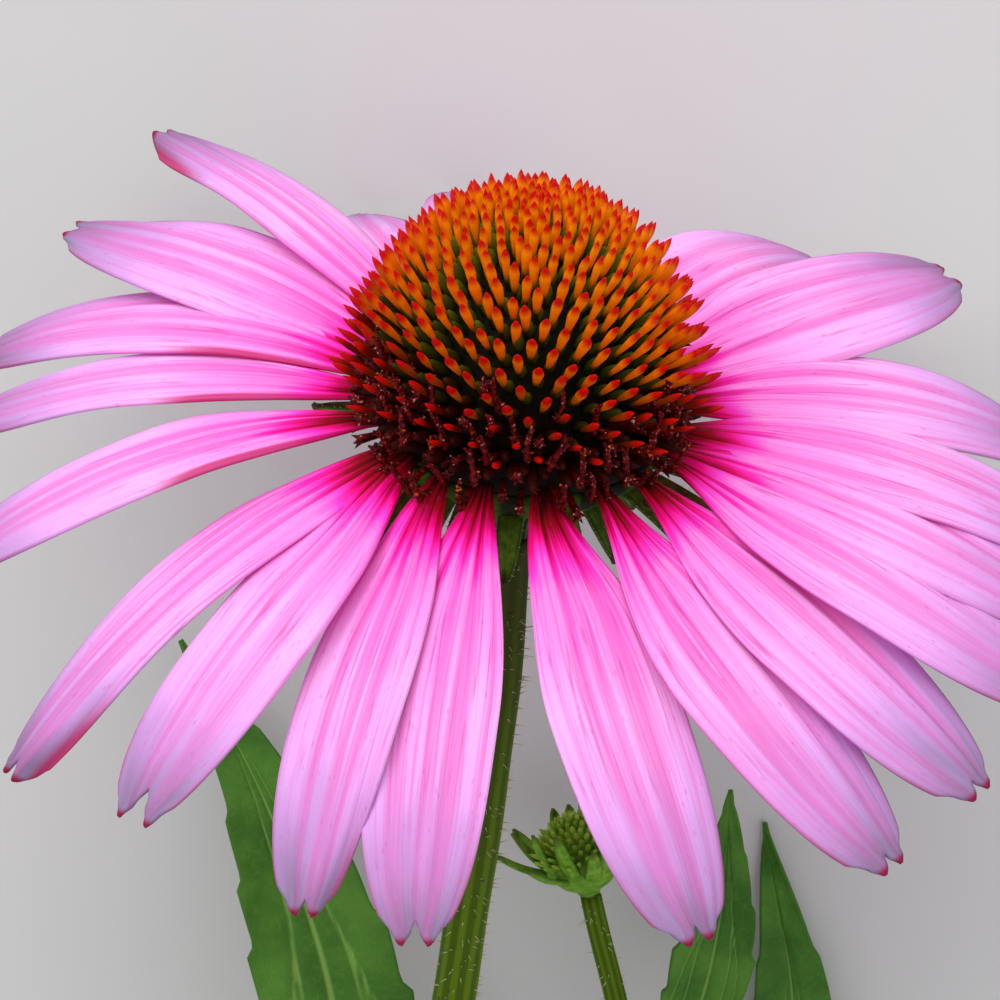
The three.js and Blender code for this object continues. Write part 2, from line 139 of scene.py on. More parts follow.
@dataclass(frozen=True)
class Station:
    """A place along a blade or a stem, with its own directions."""

    point: Vector
    forward: Vector
    side: Vector
    normal: Vector

    def outward(self, turn: float) -> Vector:
        """Returns the direction away from its line at a turn round it, from 0 to 1."""
        angle = 2 * math.pi * turn
        return self.side * math.cos(angle) + self.normal * math.sin(angle)


class Track:
    """Stations in order, read at any share of the way."""

    def __init__(self, stations: Sequence[Station]) -> None:
        """Keeps the stations."""
        self.stations = stations

    def at(self, share: float) -> Station:
        """Reads the track.

        Args:
            share: the share of the way.

        Returns:
            The station there, mixed from its two neighbours.
        """
        exact = clamp(share) * (len(self.stations) - 1)
        low = min(int(exact), len(self.stations) - 2)
        first, second, mix = self.stations[low], self.stations[low + 1], exact - low
        return Station(
            first.point.lerp(second.point, mix),
            first.forward.lerp(second.forward, mix).normalized(),
            first.side.lerp(second.side, mix).normalized(),
            first.normal.lerp(second.normal, mix).normalized(),
        )


class Route:
    """A smooth curve through points, read by its share of the length."""

    SAMPLES = 400

    def __init__(self, points: Iterable[Sequence[float]]) -> None:
        """Samples the curve finely and adds up its length.

        Args:
            points: the points that it runs through.
        """
        self.points = [Vector(point) for point in points]
        self.spots = [self._spot(i / self.SAMPLES) for i in range(self.SAMPLES + 1)]
        self.lengths = [0.0]
        for before, after in zip(self.spots, self.spots[1:]):
            self.lengths.append(self.lengths[-1] + (after - before).length)

    def _spot(self, share: float) -> Vector:
        """Reads the centripetal curve.

        Args:
            share: the share of its parameter.

        Returns:
            The point there.
        """
        points = self.points
        exact = share * (len(points) - 1)
        low = min(int(exact), len(points) - 2)
        start, end = points[low], points[low + 1]
        before = points[low - 1] if low > 0 else start * 2 - end
        after = points[low + 2] if low + 2 < len(points) else end * 2 - start
        spans = ((before, start), (start, end), (end, after))
        first, span, last = [max(math.sqrt((b - a).length), SMALLEST) for a, b in spans]
        leave = (start - before) / first - (end - before) / (first + span) + (end - start) / span
        reach = (end - start) / span - (after - start) / (span + last) + (after - end) / last
        leave, reach = leave * span, reach * span
        t = exact - low
        cubic = start * 2 - end * 2 + leave + reach
        square = end * 3 - start * 3 - leave * 2 - reach
        return start + leave * t + square * t**2 + cubic * t**3

    def point(self, share: float) -> Vector:
        """Reads the route.

        Args:
            share: the share of the length.

        Returns:
            The point there.
        """
        wanted = clamp(share) * self.lengths[-1]
        low, high = 0, self.SAMPLES
        while high - low > 1:
            middle = (low + high) // 2
            if self.lengths[middle] <= wanted:
                low = middle
            else:
                high = middle
        mix = (wanted - self.lengths[low]) / (self.lengths[high] - self.lengths[low])
        return self.spots[low].lerp(self.spots[high], mix)

    def forward(self, share: float) -> Vector:
        """Returns the direction of travel at a share of the length."""
        nudge = 1 / self.SAMPLES
        return (self.point(share + nudge) - self.point(share - nudge)).normalized()

    def track(self, steps: int, upper: Vector = UP) -> Track:
        """Makes stations along the route whose normals turn as little as they can.

        Args:
            steps: how many stretches the route has.
            upper: the side that the first normal is kept nearest to.

        Returns:
            The track.
        """
        stations, normal = [], upper
        for step in range(steps + 1):
            forward = self.forward(step / steps)
            normal = (normal - forward * normal.dot(forward)).normalized()
            stations.append(Station(self.point(step / steps), forward, forward.cross(normal), normal))
        return Track(stations)


def arching(
    root: Vector, azimuth: float, rise_root: float, rise_tip: float, length: float,
    bend: float = 0.0, roll: float = 0.0, steps: int = 24,
) -> Track:
    """Makes a track that leaves a point and bends steadily.

    Args:
        root: where it starts.
        azimuth: the way it leaves, in degrees.
        rise_root: its slope at the root, in degrees.
        rise_tip: its slope at the tip, in degrees.
        length: how long it is.
        bend: how far it turns sideways on its way, in degrees.
        roll: how far it is rolled about its own length, in degrees.
        steps: how many stretches it is stepped in.

    Returns:
        The track. Its side points towards lower azimuths.
    """
    stations, point = [], root.copy()
    for step in range(steps + 1):
        share = step / steps
        turned = azimuth + bend * share
        forward = heading(turned, lerp(rise_root, rise_tip, share))
        across = Matrix.Rotation(math.radians(roll), 3, forward) @ heading(turned + 90, 0)
        stations.append(Station(point.copy(), forward, -across, forward.cross(across)))
        point += forward * (length / steps)
    return Track(stations)


# ---------- meshes ----------

NUMBERS = ("along", "across", "tint", "height", "groove")


class Sculpt:
    """A mesh in the making, in millimetres, with numbers on its corners for the finish."""

    def __init__(self) -> None:
        """Starts an empty mesh."""
        self.mesh = bmesh.new()
        self.layers = {name: self.mesh.verts.layers.float.new(name) for name in NUMBERS}

    def mark(self, verts: Iterable[bmesh.types.BMVert], **numbers: float) -> None:
        """Writes numbers for the finish on some corners.

        Args:
            verts: the corners.
            numbers: the numbers, under names in NUMBERS.
        """
        for name, number in numbers.items():
            layer = self.layers[name]
            for vert in verts:
                vert[layer] = number

    def grid(self, columns: int, rows: int, place: Placing) -> list[bmesh.types.BMVert]:
        """Adds a grid and moves each corner to its place.

        Args:
            columns: faces across.
            rows: faces along.
            place: gives the point and the numbers at along, 0 to 1, and across, -1 to 1.

        Returns:
            The corners.
        """
        made = bmesh.ops.create_grid(self.mesh, x_segments=columns, y_segments=rows, size=1)["verts"]
        for vert in made:
            along, across = (vert.co.y + 1) / 2, vert.co.x
            vert.co, numbers = place(along, across)
            self.mark((vert,), **{"along": along, "across": across, **numbers})
        return made

    def tube(
        self, track: Track, sides: int, rows: int, radius: Callable[[float, float], float],
    ) -> list[bmesh.types.BMVert]:
        """Adds a closed round bar along a track, with a height of 1 at its end faces for the finish.

        Args:
            track: the line that it follows.
            sides: faces round it.
            rows: faces along it, with the first and the last as its end faces.
            radius: its half thickness at a share of the length and a turn from 0 to 1.

        Returns:
            The corners.
        """
        def place(along: float, across: float) -> Placed:
            """Wraps the grid round the track, drawn together at both ends."""
            row = round(along * rows)
            share = clamp((row - 1) / (rows - 2))
            turn = (across + 1) / 2
            ends = row in (0, rows)
            spot = track.at(share)
            reach = 0.0 if ends else radius(share, turn % 1)
            return spot.point + spot.outward(turn) * reach, {"along": share, "height": float(ends)}

        made = self.grid(sides, rows, place)
        self.close(made)
        return made

    def spin(self, outline: Outline, sides: int) -> None:
        """Adds the shell that an outline of radius and height sweeps round Z.

        Args:
            outline: the radius and height of each ring.
            sides: faces round it.
        """
        verts = [self.mesh.verts.new((radius, 0, height)) for radius, height in outline]
        edges = [self.mesh.edges.new(pair) for pair in zip(verts, verts[1:])]
        bmesh.ops.spin(
            self.mesh, geom=verts + edges, axis=(0, 0, 1), cent=(0, 0, 0), angle=2 * math.pi, steps=sides,
            use_merge=True,
        )

    def lathe(self, outline: Outline, sides: int) -> None:
        """Adds a closed turned shape about Z, whose outline begins and ends on the axis."""
        self.spin(outline, sides)
        self.close(self.mesh.verts)

    def close(self, verts: Iterable[bmesh.types.BMVert]) -> None:
        """Joins seams and poles, and turns all faces outwards."""
        bmesh.ops.remove_doubles(self.mesh, verts=[v for v in verts if v.is_valid], dist=MERGE_MM)
        bmesh.ops.recalc_face_normals(self.mesh, faces=self.mesh.faces)

    def transform(self, matrix: Matrix) -> None:
        """Moves the whole mesh."""
        bmesh.ops.transform(self.mesh, matrix=matrix, verts=self.mesh.verts)

    def settle(self) -> None:
        """Removes what helped to make the shape: nothing, in a plain sculpt."""

    def piece(
        self, name: str, material: bpy.types.Material, slot: Slot, nodes: Sequence[str],
        home: Matrix = Matrix.Identity(4), wall: float = 0.0,
    ) -> None:
        """Makes the finished object, in metres, riding on the plant.

        Args:
            name: the piece's name.
            material: its finish.
            slot: the record's slot for that finish; not used.
            nodes: the solids that it stands for.
            home: the move from its own frame to the plant's, in millimetres.
            wall: its thickness in millimetres, if it is still an open sheet.
        """
        self.settle()
        self.transform(home)
        self.transform(TO_FRAME)
        data = bpy.data.meshes.new(name)
        self.mesh.to_mesh(data)
        self.mesh.free()
        data.materials.append(material)
        data.shade_smooth()
        made = bpy.data.objects.new(name, data)
        bpy.context.scene.collection.objects.link(made)
        if wall:
            shell = made.modifiers.new("wall", "SOLIDIFY")
            shell.thickness = wall * METRES_PER_MM
            shell.offset = 0
        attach(made, BODY)
        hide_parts(*nodes)
        log.info("%s: %d faces", name, len(data.polygons))


class Swarm(Sculpt):
    """Many copies of one small shape, or of a few."""

    def __init__(self) -> None:
        """Starts with no shape."""
        super().__init__()
        self.patterns: dict[str, list] = {}

    def pattern(self, name: str, shape: Callable[[], None]) -> None:
        """Makes a shape standing on the origin along +Z, and keeps it as a pattern.

        Args:
            name: what the pattern is called.
            shape: adds the shape to this mesh.
        """
        before = set(self.mesh.verts)
        shape()
        verts = [vert for vert in self.mesh.verts if vert not in before]
        own = set(verts)
        edges = [edge for edge in self.mesh.edges if edge.verts[0] in own]
        faces = [face for face in self.mesh.faces if face.verts[0] in own]
        self.patterns[name] = verts + edges + faces

    def spun(self, outline: Outline, sides: int, flat: float = 1.0, bow: float = 0.0) -> None:
        """Adds a slim turned shape whose corners know their share of its height.

        Args:
            outline: radius and height of each ring, the last one on the axis.
            sides: faces round it.
            flat: its thickness in Y as a share of its width.
            bow: how far its tip bends towards +Y.
        """
        before = set(self.mesh.verts)
        self.spin(outline, sides)
        made = [vert for vert in self.mesh.verts if vert not in before]
        bmesh.ops.remove_doubles(self.mesh, verts=made, dist=MERGE_MM)
        made = [vert for vert in self.mesh.verts if vert not in before]
        low, high = outline[0][1], outline[-1][1]
        for vert in made:
            share = clamp((vert.co.z - low) / (high - low))
            self.mark((vert,), along=share, across=vert.co.x)
            vert.co.y = vert.co.y * flat + bow * share * share
        own = set(made)
        faces = [face for face in self.mesh.faces if face.verts[0] in own]
        bmesh.ops.recalc_face_normals(self.mesh, faces=faces)

    def stamp(self, name: str, place: Matrix, **numbers: float) -> None:
        """Adds a copy of a pattern.

        Args:
            name: the pattern's name.
            place: the move from the origin to its place.
            numbers: its own numbers for the finish.
        """
        copied = bmesh.ops.duplicate(self.mesh, geom=self.patterns[name])["geom"]
        verts = [item for item in copied if isinstance(item, bmesh.types.BMVert)]
        bmesh.ops.transform(self.mesh, matrix=place, verts=verts)
        self.mark(verts, **numbers)

    def settle(self) -> None:
        """Removes the patterns, so that only their copies stay."""
        for kept in self.patterns.values():
            verts = [item for item in kept if isinstance(item, bmesh.types.BMVert)]
            bmesh.ops.delete(self.mesh, geom=verts, context="VERTS")
        self.patterns.clear()


# ---------- shader maths ----------

Colour = tuple[float, float, float, float]
Number = Union[float, "Field"]
Stops = Sequence[tuple[float, Colour]]


def paint(red: int, green: int, blue: int) -> Colour:
    """Returns the linear colour of a screen colour whose parts run from 0 to 255."""
    def linear(part: int) -> float:
        """Undoes the screen's curve for one part."""
        share = part / 255
        return share / 12.92 if share <= 0.04045 else ((share + 0.055) / 1.055) ** 2.4

    return (linear(red), linear(green), linear(blue), 1.0)


class Field:
    """A number that changes over a surface, with arithmetic that adds its own nodes."""

    def __init__(self, shader: "Shader", socket: bpy.types.NodeSocket) -> None:
        """Wraps a socket of the shader's nodes."""
        self.shader = shader
        self.socket = socket

    def __add__(self, other: Number) -> "Field":
        """Returns the sum."""
        return self.shader.math("ADD", self, other)

    __radd__ = __add__

    def __sub__(self, other: Number) -> "Field":
        """Returns the difference."""
        return self.shader.math("SUBTRACT", self, other)

    def __rsub__(self, other: Number) -> "Field":
        """Returns the difference, from the other side."""
        return self.shader.math("SUBTRACT", other, self)

    def __mul__(self, other: Number) -> "Field":
        """Returns the product."""
        return self.shader.math("MULTIPLY", self, other)

    __rmul__ = __mul__

    def __abs__(self) -> "Field":
        """Returns the size without the sign."""
        return self.shader.math("ABSOLUTE", self)

    def step(self, low: float, high: float) -> "Field":
        """Makes a soft step.

        Args:
            low: where it is still 0, which may be the larger of the two.
            high: where it has reached 1.

        Returns:
            The step's height, from 0 to 1.
        """
        settings = {"interpolation_type": "SMOOTHSTEP"}
        node = self.shader.add("ShaderNodeMapRange", settings, {0: self, 1: low, 2: high})
        return Field(self.shader, node.outputs[0])


class Shader:
    """One material, built from nodes."""

    def __init__(self, name: str) -> None:
        """Starts a material with one principled surface.

        Args:
            name: the material's name.
        """
        self.material = bpy.data.materials.new(name)
        self.material.use_nodes = True
        self.nodes = self.material.node_tree.nodes
        self.links = self.material.node_tree.links
        self.surface = self.nodes["Principled BSDF"]

    def add(
        self, kind: str, settings: dict[str, object], inputs: dict[Union[int, str], object],
    ) -> bpy.types.Node:
        """Adds a node.

        Args:
            kind: the node's type.
            settings: its settings, with a ramp's stops under "stops".
            inputs: the value or link of each socket, by place or name.

        Returns:
            The node.
        """
        node = self.nodes.new(kind)
        for name, setting in settings.items():
            if name == "stops":
                self._set_stops(node.color_ramp, setting)
            else:
                setattr(node, name, setting)
        for name, value in inputs.items():
            self.feed(node.inputs[name], value)
        return node

    @staticmethod
    def _set_stops(ramp: bpy.types.ColorRamp, stops: Stops) -> None:
        """Puts stops on a ramp.

        Args:
            ramp: the ramp.
            stops: the position and colour of each stop, in order.
        """
        while len(ramp.elements) < len(stops):
            ramp.elements.new(1.0)
        for element, (position, colour) in zip(ramp.elements, stops):
            element.position = position
            element.color = colour

    def feed(self, socket: bpy.types.NodeSocket, value: object) -> None:
        """Links a field or a socket to an input, or sets the input's own value.

        Args:
            socket: the input.
            value: a field, a socket, a number or a colour.
        """
        if isinstance(value, Field):
            value = value.socket
        if isinstance(value, bpy.types.NodeSocket):
            self.links.new(value, socket)
        else:
            socket.default_value = value

    def math(self, operation: str, *values: Number) -> Field:
        """Returns a sum, product or the like of one or two numbers."""
        node = self.add("ShaderNodeMath", {"operation": operation}, dict(enumerate(values)))
        return Field(self, node.outputs[0])

    def number(self, name: str) -> Field:
        """Returns a number that the mesh carries on its corners."""
        node = self.add("ShaderNodeAttribute", {"attribute_name": name}, {})
        return Field(self, node.outputs["Fac"])

    def place(self) -> bpy.types.NodeSocket:
        """Returns the position on the object."""
        return self.add("ShaderNodeTexCoord", {}, {}).outputs["Object"]

    def spot(self, x: Number, y: Number, z: Number) -> bpy.types.NodeSocket:
        """Returns a position made of three numbers."""
        return self.add("ShaderNodeCombineXYZ", {}, {0: x, 1: y, 2: z}).outputs[0]

    def noise(
        self, at: bpy.types.NodeSocket, scale: float, detail: float = 2.0, rough: float = 0.5,
    ) -> Field:
        """Returns soft random values from 0 to 1."""
        inputs = {"Vector": at, "Scale": scale, "Detail": detail, "Roughness": rough}
        return Field(self, self.add("ShaderNodeTexNoise", {}, inputs).outputs["Fac"])

    def cells(self, at: bpy.types.NodeSocket, scale: float) -> Field:
        """Returns the distance to the nearest of many scattered points."""
        node = self.add("ShaderNodeTexVoronoi", {}, {"Vector": at, "Scale": scale})
        return Field(self, node.outputs["Distance"])

    def ramp(self, by: Field, stops: Stops) -> bpy.types.NodeSocket:
        """Returns a colour picked from stops."""
        return self.add("ShaderNodeValToRGB", {"stops": stops}, {0: by}).outputs[0]

    def mix(self, by: Number, first: object, second: object) -> bpy.types.NodeSocket:
        """Returns two colours mixed by a number."""
        settings = {"data_type": "RGBA", "blend_type": "MIX", "clamp_factor": True}
        return self.add("ShaderNodeMix", settings, {0: by, 6: first, 7: second}).outputs[2]

    def bump(self, height: Field, depth_mm: float, strength: float = 1.0) -> bpy.types.NodeSocket:
        """Returns the surface's direction, roughened by a height."""
        inputs = {"Strength": strength, "Distance": depth_mm * METRES_PER_MM, "Height": height}
        return self.add("ShaderNodeBump", {}, inputs).outputs[0]

    def finish(self, **inputs: object) -> bpy.types.Material:
        """Feeds the surface.

        Args:
            inputs: its values and links, by socket name with _ for a space.

        Returns:
            The material.
        """
        for name, value in inputs.items():
            self.feed(self.surface.inputs[name.replace("_", " ")], value)
        return self.material


# ---------- finishes ----------


@dataclass(frozen=True)
class PetalFinish:
    """Satin ray floret: magenta at the root, pink with darker streaks, pale lilac near the end, with
    painted shade near black at the very root and greying at the ends.
    """

    # Painted shade: near black at the very root, under the cone, over the real deep magenta, and greying
    # from 0.86 on, where the ends droop away from the light.
    blade: Stops = (
        (0.0, paint(52, 0, 2)),
        (0.07, paint(166, 0, 30)),
        (0.115, paint(246, 0, 130)),
        (0.16, paint(252, 62, 204)),
        (0.22, paint(248, 136, 218)),
        (0.33, paint(246, 146, 224)),
        (0.5, paint(246, 174, 234)),
        (0.7, paint(227, 166, 232)),
        (0.86, paint(185, 141, 197)),
        (0.97, paint(142, 122, 158)),
    )
    # The streak ramp carries the same painted shade at the root and at the ends.
    streak: Stops = (
        (0.0, paint(54, 0, 2)),
        (0.07, paint(140, 0, 22)),
        (0.12, paint(212, 0, 106)),
        (0.165, paint(238, 24, 162)),
        (0.23, paint(240, 86, 192)),
        (0.35, paint(238, 110, 198)),
        (0.55, paint(236, 124, 202)),
        (0.78, paint(204, 116, 186)),
        (0.95, paint(142, 96, 134)),
    )
    tooth: Colour = paint(150, 34, 76)
    # Deep rose for the curled edges, also used as painted shade along the margins.
    edge: Colour = paint(186, 14, 84)
    vein: Colour = paint(200, 50, 150)
    speck: Colour = paint(196, 60, 140)

    def material(self) -> bpy.types.Material:
        """Builds the material from the numbers along and across each ray.

        Returns:
            The material.
        """
        shader = Shader("petal")
        along, across, tint = (shader.number(name) for name in ("along", "across", "tint"))
        groove, curl = shader.number("groove"), shader.number("height")
        broad = shader.noise(shader.spot(across * 4.5, along * 0.9, tint * 41), 1.0, 2.0, 0.5)
        fine = shader.noise(shader.spot(across * 19, along * 2.6, tint * 23), 1.0, 2.0, 0.6)
        cloud = shader.noise(shader.spot(across * 1.6, along * 5, tint * 67), 1.0, 2.0, 0.5)
        course = shader.noise(shader.spot(across * 8, along * 1.5, tint * 31), 1.0, 1.0, 0.5)
        streaks = (broad * 0.6 + fine * 0.4 + groove * 0.2).step(0.42, 0.74)
        reach = along + (cloud - 0.5) * 0.18 - streaks * 0.05
        colour = shader.mix(streaks * 0.85, shader.ramp(reach, self.blade), shader.ramp(reach, self.streak))
        lines = abs(course - 0.5).step(0.035, 0.0) * fine.step(0.25, 0.6)
        lines = lines * along.step(1.0, 0.3) * along.step(0.1, 0.25)
        colour = shader.mix(lines * 0.6, colour, self.vein)
        dots = shader.cells(shader.spot(across * 9, along * 26, tint * 19), 1.0)
        rare = shader.noise(shader.spot(across * 5, along * 9, tint * 53), 1.0, 0.0).step(0.42, 0.6)
        colour = shader.mix(dots.step(0.26, 0.06) * rare * 0.3, colour, self.speck)
        # Painted shade: a deep rose line along the margins towards the ends; the same rose colours the
        # curled edges and the marked upper edges near the root.
        rim = abs(across).step(0.9, 1.0) * along.step(0.7, 0.97)
        edges = shader.math("MAXIMUM", rim * 0.5, curl.step(0.25, 0.8) * 0.8)
        colour = shader.mix(edges, colour, self.edge)
        colour = shader.mix(along.step(0.978, 0.994), colour, self.tooth)
        relief = shader.bump(fine * 0.7 + broad * 0.3, 0.22, 0.55)
        return shader.finish(
            Base_Color=colour, Roughness=0.55, Normal=relief, Specular_IOR_Level=0.06,
            Subsurface_Weight=0.15, Subsurface_Scale=0.0006, Subsurface_Radius=(1.0, 0.25, 0.7),
        )


@dataclass(frozen=True)
class ScaleFinish:
    """Stiff waxy cone scale: red point, orange shaft, dark olive foot, and maroon low on the cone; the dark
    foot, the darkening low on the cone and the paler top are partly painted shade and light.
    """

    # The low colours and shaft_top are partly real and partly painted shade below and painted light on top.
    foot: Colour = paint(44, 46, 3)
    foot_low: Colour = paint(14, 3, 1)
    shaft: Colour = paint(255, 128, 1)
    shaft_top: Colour = paint(255, 150, 4)
    shaft_low: Colour = paint(110, 15, 1)
    point: Colour = paint(196, 6, 1)
    point_low: Colour = paint(184, 9, 1)

    def material(self) -> bpy.types.Material:
        """Builds the material from the numbers along each scale and up the cone.

        Returns:
            The material.
        """
        shader = Shader("cone_scale")
        along, height, tint = (shader.number(name) for name in ("along", "height", "tint"))
        # Painted shade and light: the scales darken to maroon low on the cone and turn paler orange at its
        # top, partly their real colour and partly shade below and light from above.
        raised = height + (tint - 0.5) * 0.16
        high_on_cone = raised.step(0.14, 0.46)
        upper_shaft = shader.mix(raised.step(0.5, 0.95), self.shaft, self.shaft_top)
        shaft = shader.mix(high_on_cone, self.shaft_low, upper_shaft)
        foot = shader.mix(high_on_cone, self.foot_low, self.foot)
        point = shader.mix(high_on_cone, self.point_low, self.point)
        grain = shader.noise(shader.place(), 1400, 2.0)
        wander = along + (grain - 0.5) * 0.08 + (tint - 0.5) * 0.06
        # Painted shade: the dark olive foot stands partly for the shade where each scale sinks in among the
        # others.
        colour = shader.mix(wander.step(0.3, 0.56), foot, shaft)
        colour = shader.mix((wander + raised.step(0.7, 0.3) * 0.05).step(0.768, 0.938), colour, point)
        relief = shader.bump(grain, 0.05, 0.5)
        return shader.finish(
            Base_Color=colour, Roughness=0.4, Normal=relief, Specular_IOR_Level=0.1, Subsurface_Weight=0.08,
            Subsurface_Scale=0.0004, Subsurface_Radius=(1.0, 0.3, 0.1),
        )


@dataclass(frozen=True)
class FloretFinish:
    """Unopened disc florets: olive green, brown and maroon low on the cone."""

    name: str = "floret_bud"
    high: Colour = paint(92, 104, 24)
    middle: Colour = paint(60, 62, 8)
    shade: Colour = paint(16, 11, 1)
    low: Colour = paint(52, 8, 4)

    def material(self) -> bpy.types.Material:
        """Builds the material from the height up the cone.

        Returns:
            The material.
        """
        shader = Shader(self.name)
        height, tint, along = (shader.number(name) for name in ("height", "tint", "along"))
        raised = height + (tint - 0.5) * 0.25
        colour = shader.mix(raised.step(0.15, 0.4), self.low, self.middle)
        colour = shader.mix(raised.step(0.35, 0.9), colour, self.high)
        colour = shader.mix(along.step(0.6, 0.0) * 0.85, colour, self.shade)
        grain = shader.noise(shader.place(), 2200, 2.0)
        relief = shader.bump(grain, 0.06, 0.6)
        return shader.finish(Base_Color=colour, Roughness=0.55, Normal=relief, Specular_IOR_Level=0.08)


@dataclass(frozen=True)
class StyleFinish:
    """Open disc florets: dark maroon, with painted pale rosy highlights and crumbs of golden pollen."""

    body: Colour = paint(112, 8, 4)
    dark: Colour = paint(44, 3, 2)
    # Painted highlight: pale rosy glints of light on the upper parts.
    painted_glint: Colour = paint(232, 168, 150)
    pollen: Colour = paint(232, 112, 20)

    def material(self) -> bpy.types.Material:
        """Builds the material from fine speckles.

        Returns:
            The material.
        """
        shader = Shader("open_floret")
        along, tint = shader.number("along"), shader.number("tint")
        grain = shader.noise(shader.place(), 2600, 2.0, 0.6)
        patch = shader.noise(shader.place(), 900, 1.0)
        colour = shader.mix(grain.step(0.38, 0.6), self.dark, self.body)
        # Painted highlight on the upper ends of the florets.
        colour = shader.mix(grain.step(0.63, 0.68) * along.step(0.5, 0.9) * 0.8, colour, self.painted_glint)
        gold = patch.step(0.58, 0.68) * grain.step(0.46, 0.6) * tint.step(0.3, 0.5)
        colour = shader.mix(gold * 0.9, colour, self.pollen)
        relief = shader.bump(grain, 0.12, 0.8)
        return shader.finish(Base_Color=colour, Roughness=0.4, Normal=relief, Specular_IOR_Level=0.12)


@dataclass(frozen=True)
class PlainFinish:
    """A two-coloured grainy finish for small parts."""

    name: str
    first: Colour
    second: Colour
    scale: float = 900.0
    roughness: float = 0.5
    depth: float = 0.05
    specular: float = 0.2

    def material(self) -> bpy.types.Material:
        """Builds the material from noise on the object.

        Returns:
            The material.
        """
        shader = Shader(self.name)
        grain = shader.noise(shader.place(), self.scale, 3.0)
        colour = shader.mix(grain.step(0.35, 0.65), self.first, self.second)
        relief = shader.bump(grain, self.depth, 0.6)
        return shader.finish(
            Base_Color=colour, Roughness=self.roughness, Normal=relief, Specular_IOR_Level=self.specular,
        )


@dataclass(frozen=True)
class BractFinish:
    """Green bract with a paler midrib, dark edges and a dark point."""

    name: str = "bract"
    green: Colour = paint(74, 116, 18)
    pale: Colour = paint(112, 156, 38)
    dark: Colour = paint(42, 66, 8)
    point: Colour = paint(60, 38, 18)

    def material(self) -> bpy.types.Material:
        """Builds the material from the numbers along and across each bract.

        Returns:
            The material.
        """
        shader = Shader(self.name)
        along, across = shader.number("along"), shader.number("across")
        grain = shader.noise(shader.place(), 1100, 3.0)
        colour = shader.mix(grain.step(0.35, 0.7), self.green, self.pale)
        colour = shader.mix(abs(across).step(0.25, 0.0) * 0.5, colour, self.pale)
        colour = shader.mix(abs(across).step(0.7, 1.0) * 0.5, colour, self.dark)
        # Painted shade: darker towards the base, where the bract leaves the cup.
        colour = shader.mix(along.step(0.3, 0.0) * 0.5, colour, self.dark)
        colour = shader.mix(along.step(0.8, 0.99) * 0.8, colour, self.point)
        relief = shader.bump(grain, 0.06, 0.6)
        return shader.finish(Base_Color=colour, Roughness=0.6, Normal=relief, Specular_IOR_Level=0.2)


@dataclass(frozen=True)
class CupFinish:
    """Green cup with painted shade in the gaps between the bases of its bracts."""

    green: Colour = paint(70, 104, 18)
    gap_shade: Colour = paint(22, 30, 3)

    def material(self) -> bpy.types.Material:
        """Builds the material from the ridges round the cup.

        Returns:
            The material.
        """
        shader = Shader("cup")
        grain = shader.noise(shader.place(), 600, 3.0)
        base = (shader.number("groove") + (grain - 0.5) * 0.9).step(0.5, 1.1)
        # Painted shade: dark in the gaps between the ridges under the bracts' bases.
        colour = shader.mix(base, self.gap_shade, self.green)
        relief = shader.bump(grain, 0.1, 0.6)
        return shader.finish(Base_Color=colour, Roughness=0.6, Normal=relief, Specular_IOR_Level=0.1)


@dataclass(frozen=True)
class StemFinish:
    """Green stem with paler ribs, purple flecks, painted shade darkening the neck under the bloom, and a
    pale cut end.
    """

    green: Colour = paint(64, 88, 3)
    pale: Colour = paint(98, 128, 12)
    neck_shade: Colour = paint(50, 56, 4)
    fleck: Colour = paint(74, 34, 38)
    pith: Colour = paint(222, 226, 178)

    def material(self) -> bpy.types.Material:
        """Builds the material from the number of each rib and the way along the stem.

        Returns:
            The material.
        """
        shader = Shader("stem")
        along, rib, end = (shader.number(name) for name in ("along", "groove", "height"))
        grain = shader.noise(shader.place(), 700, 3.0)
        colour = shader.mix(rib.step(0.2, 0.9) * 0.7 + grain * 0.2, self.green, self.pale)
        # Painted shade: the neck darkens under the bloom.
        colour = shader.mix(along.step(0.22, 0.0) * 0.85, colour, self.neck_shade)
        flecks = shader.cells(shader.place(), 900)
        colour = shader.mix(flecks.step(0.24, 0.12) * grain.step(0.5, 0.62) * 0.7, colour, self.fleck)
        colour = shader.mix(end.step(0.45, 0.6), colour, self.pith)
        relief = shader.bump(grain, 0.1, 0.5)
        return shader.finish(Base_Color=colour, Roughness=0.6, Normal=relief, Specular_IOR_Level=0.12)


@dataclass(frozen=True)
class LeafFinish:
    """Rough green leaf with paler arching veins and a net of fine ones."""

    green: Colour = paint(84, 136, 44)
    deep: Colour = paint(56, 106, 28)
    vein: Colour = paint(136, 178, 84)

    def material(self) -> bpy.types.Material:
        """Builds the material from the numbers along and across each leaf.

        Returns:
            The material.
        """
        shader = Shader("leaf")
        along, across, vein = (shader.number(name) for name in ("along", "across", "groove"))
        mottle = shader.noise(shader.place(), 160, 3.0)
        mesh = shader.noise(shader.place(), 900, 1.0)
        net = abs(mesh - 0.5).step(0.06, 0.0)
        colour = shader.mix(mottle.step(0.3, 0.7), self.deep, self.green)
        colour = shader.mix(net * 0.08, colour, self.vein)
        colour = shader.mix(vein.step(0.3, 0.95) * 0.8, colour, self.vein)
        colour = shader.mix(abs(across).step(0.93, 1.0) * 0.35, colour, self.deep)
        colour = shader.mix(along.step(0.12, 0.02) * 0.5, colour, self.vein)
        pores = shader.noise(shader.place(), 1500, 2.0)
        relief = shader.bump(pores * 0.5 - net * 0.3, 0.14, 0.6)
        return shader.finish(
            Base_Color=colour, Roughness=0.6, Normal=relief, Specular_IOR_Level=0.2, Subsurface_Weight=0.06,
            Subsurface_Scale=0.0005,
        )


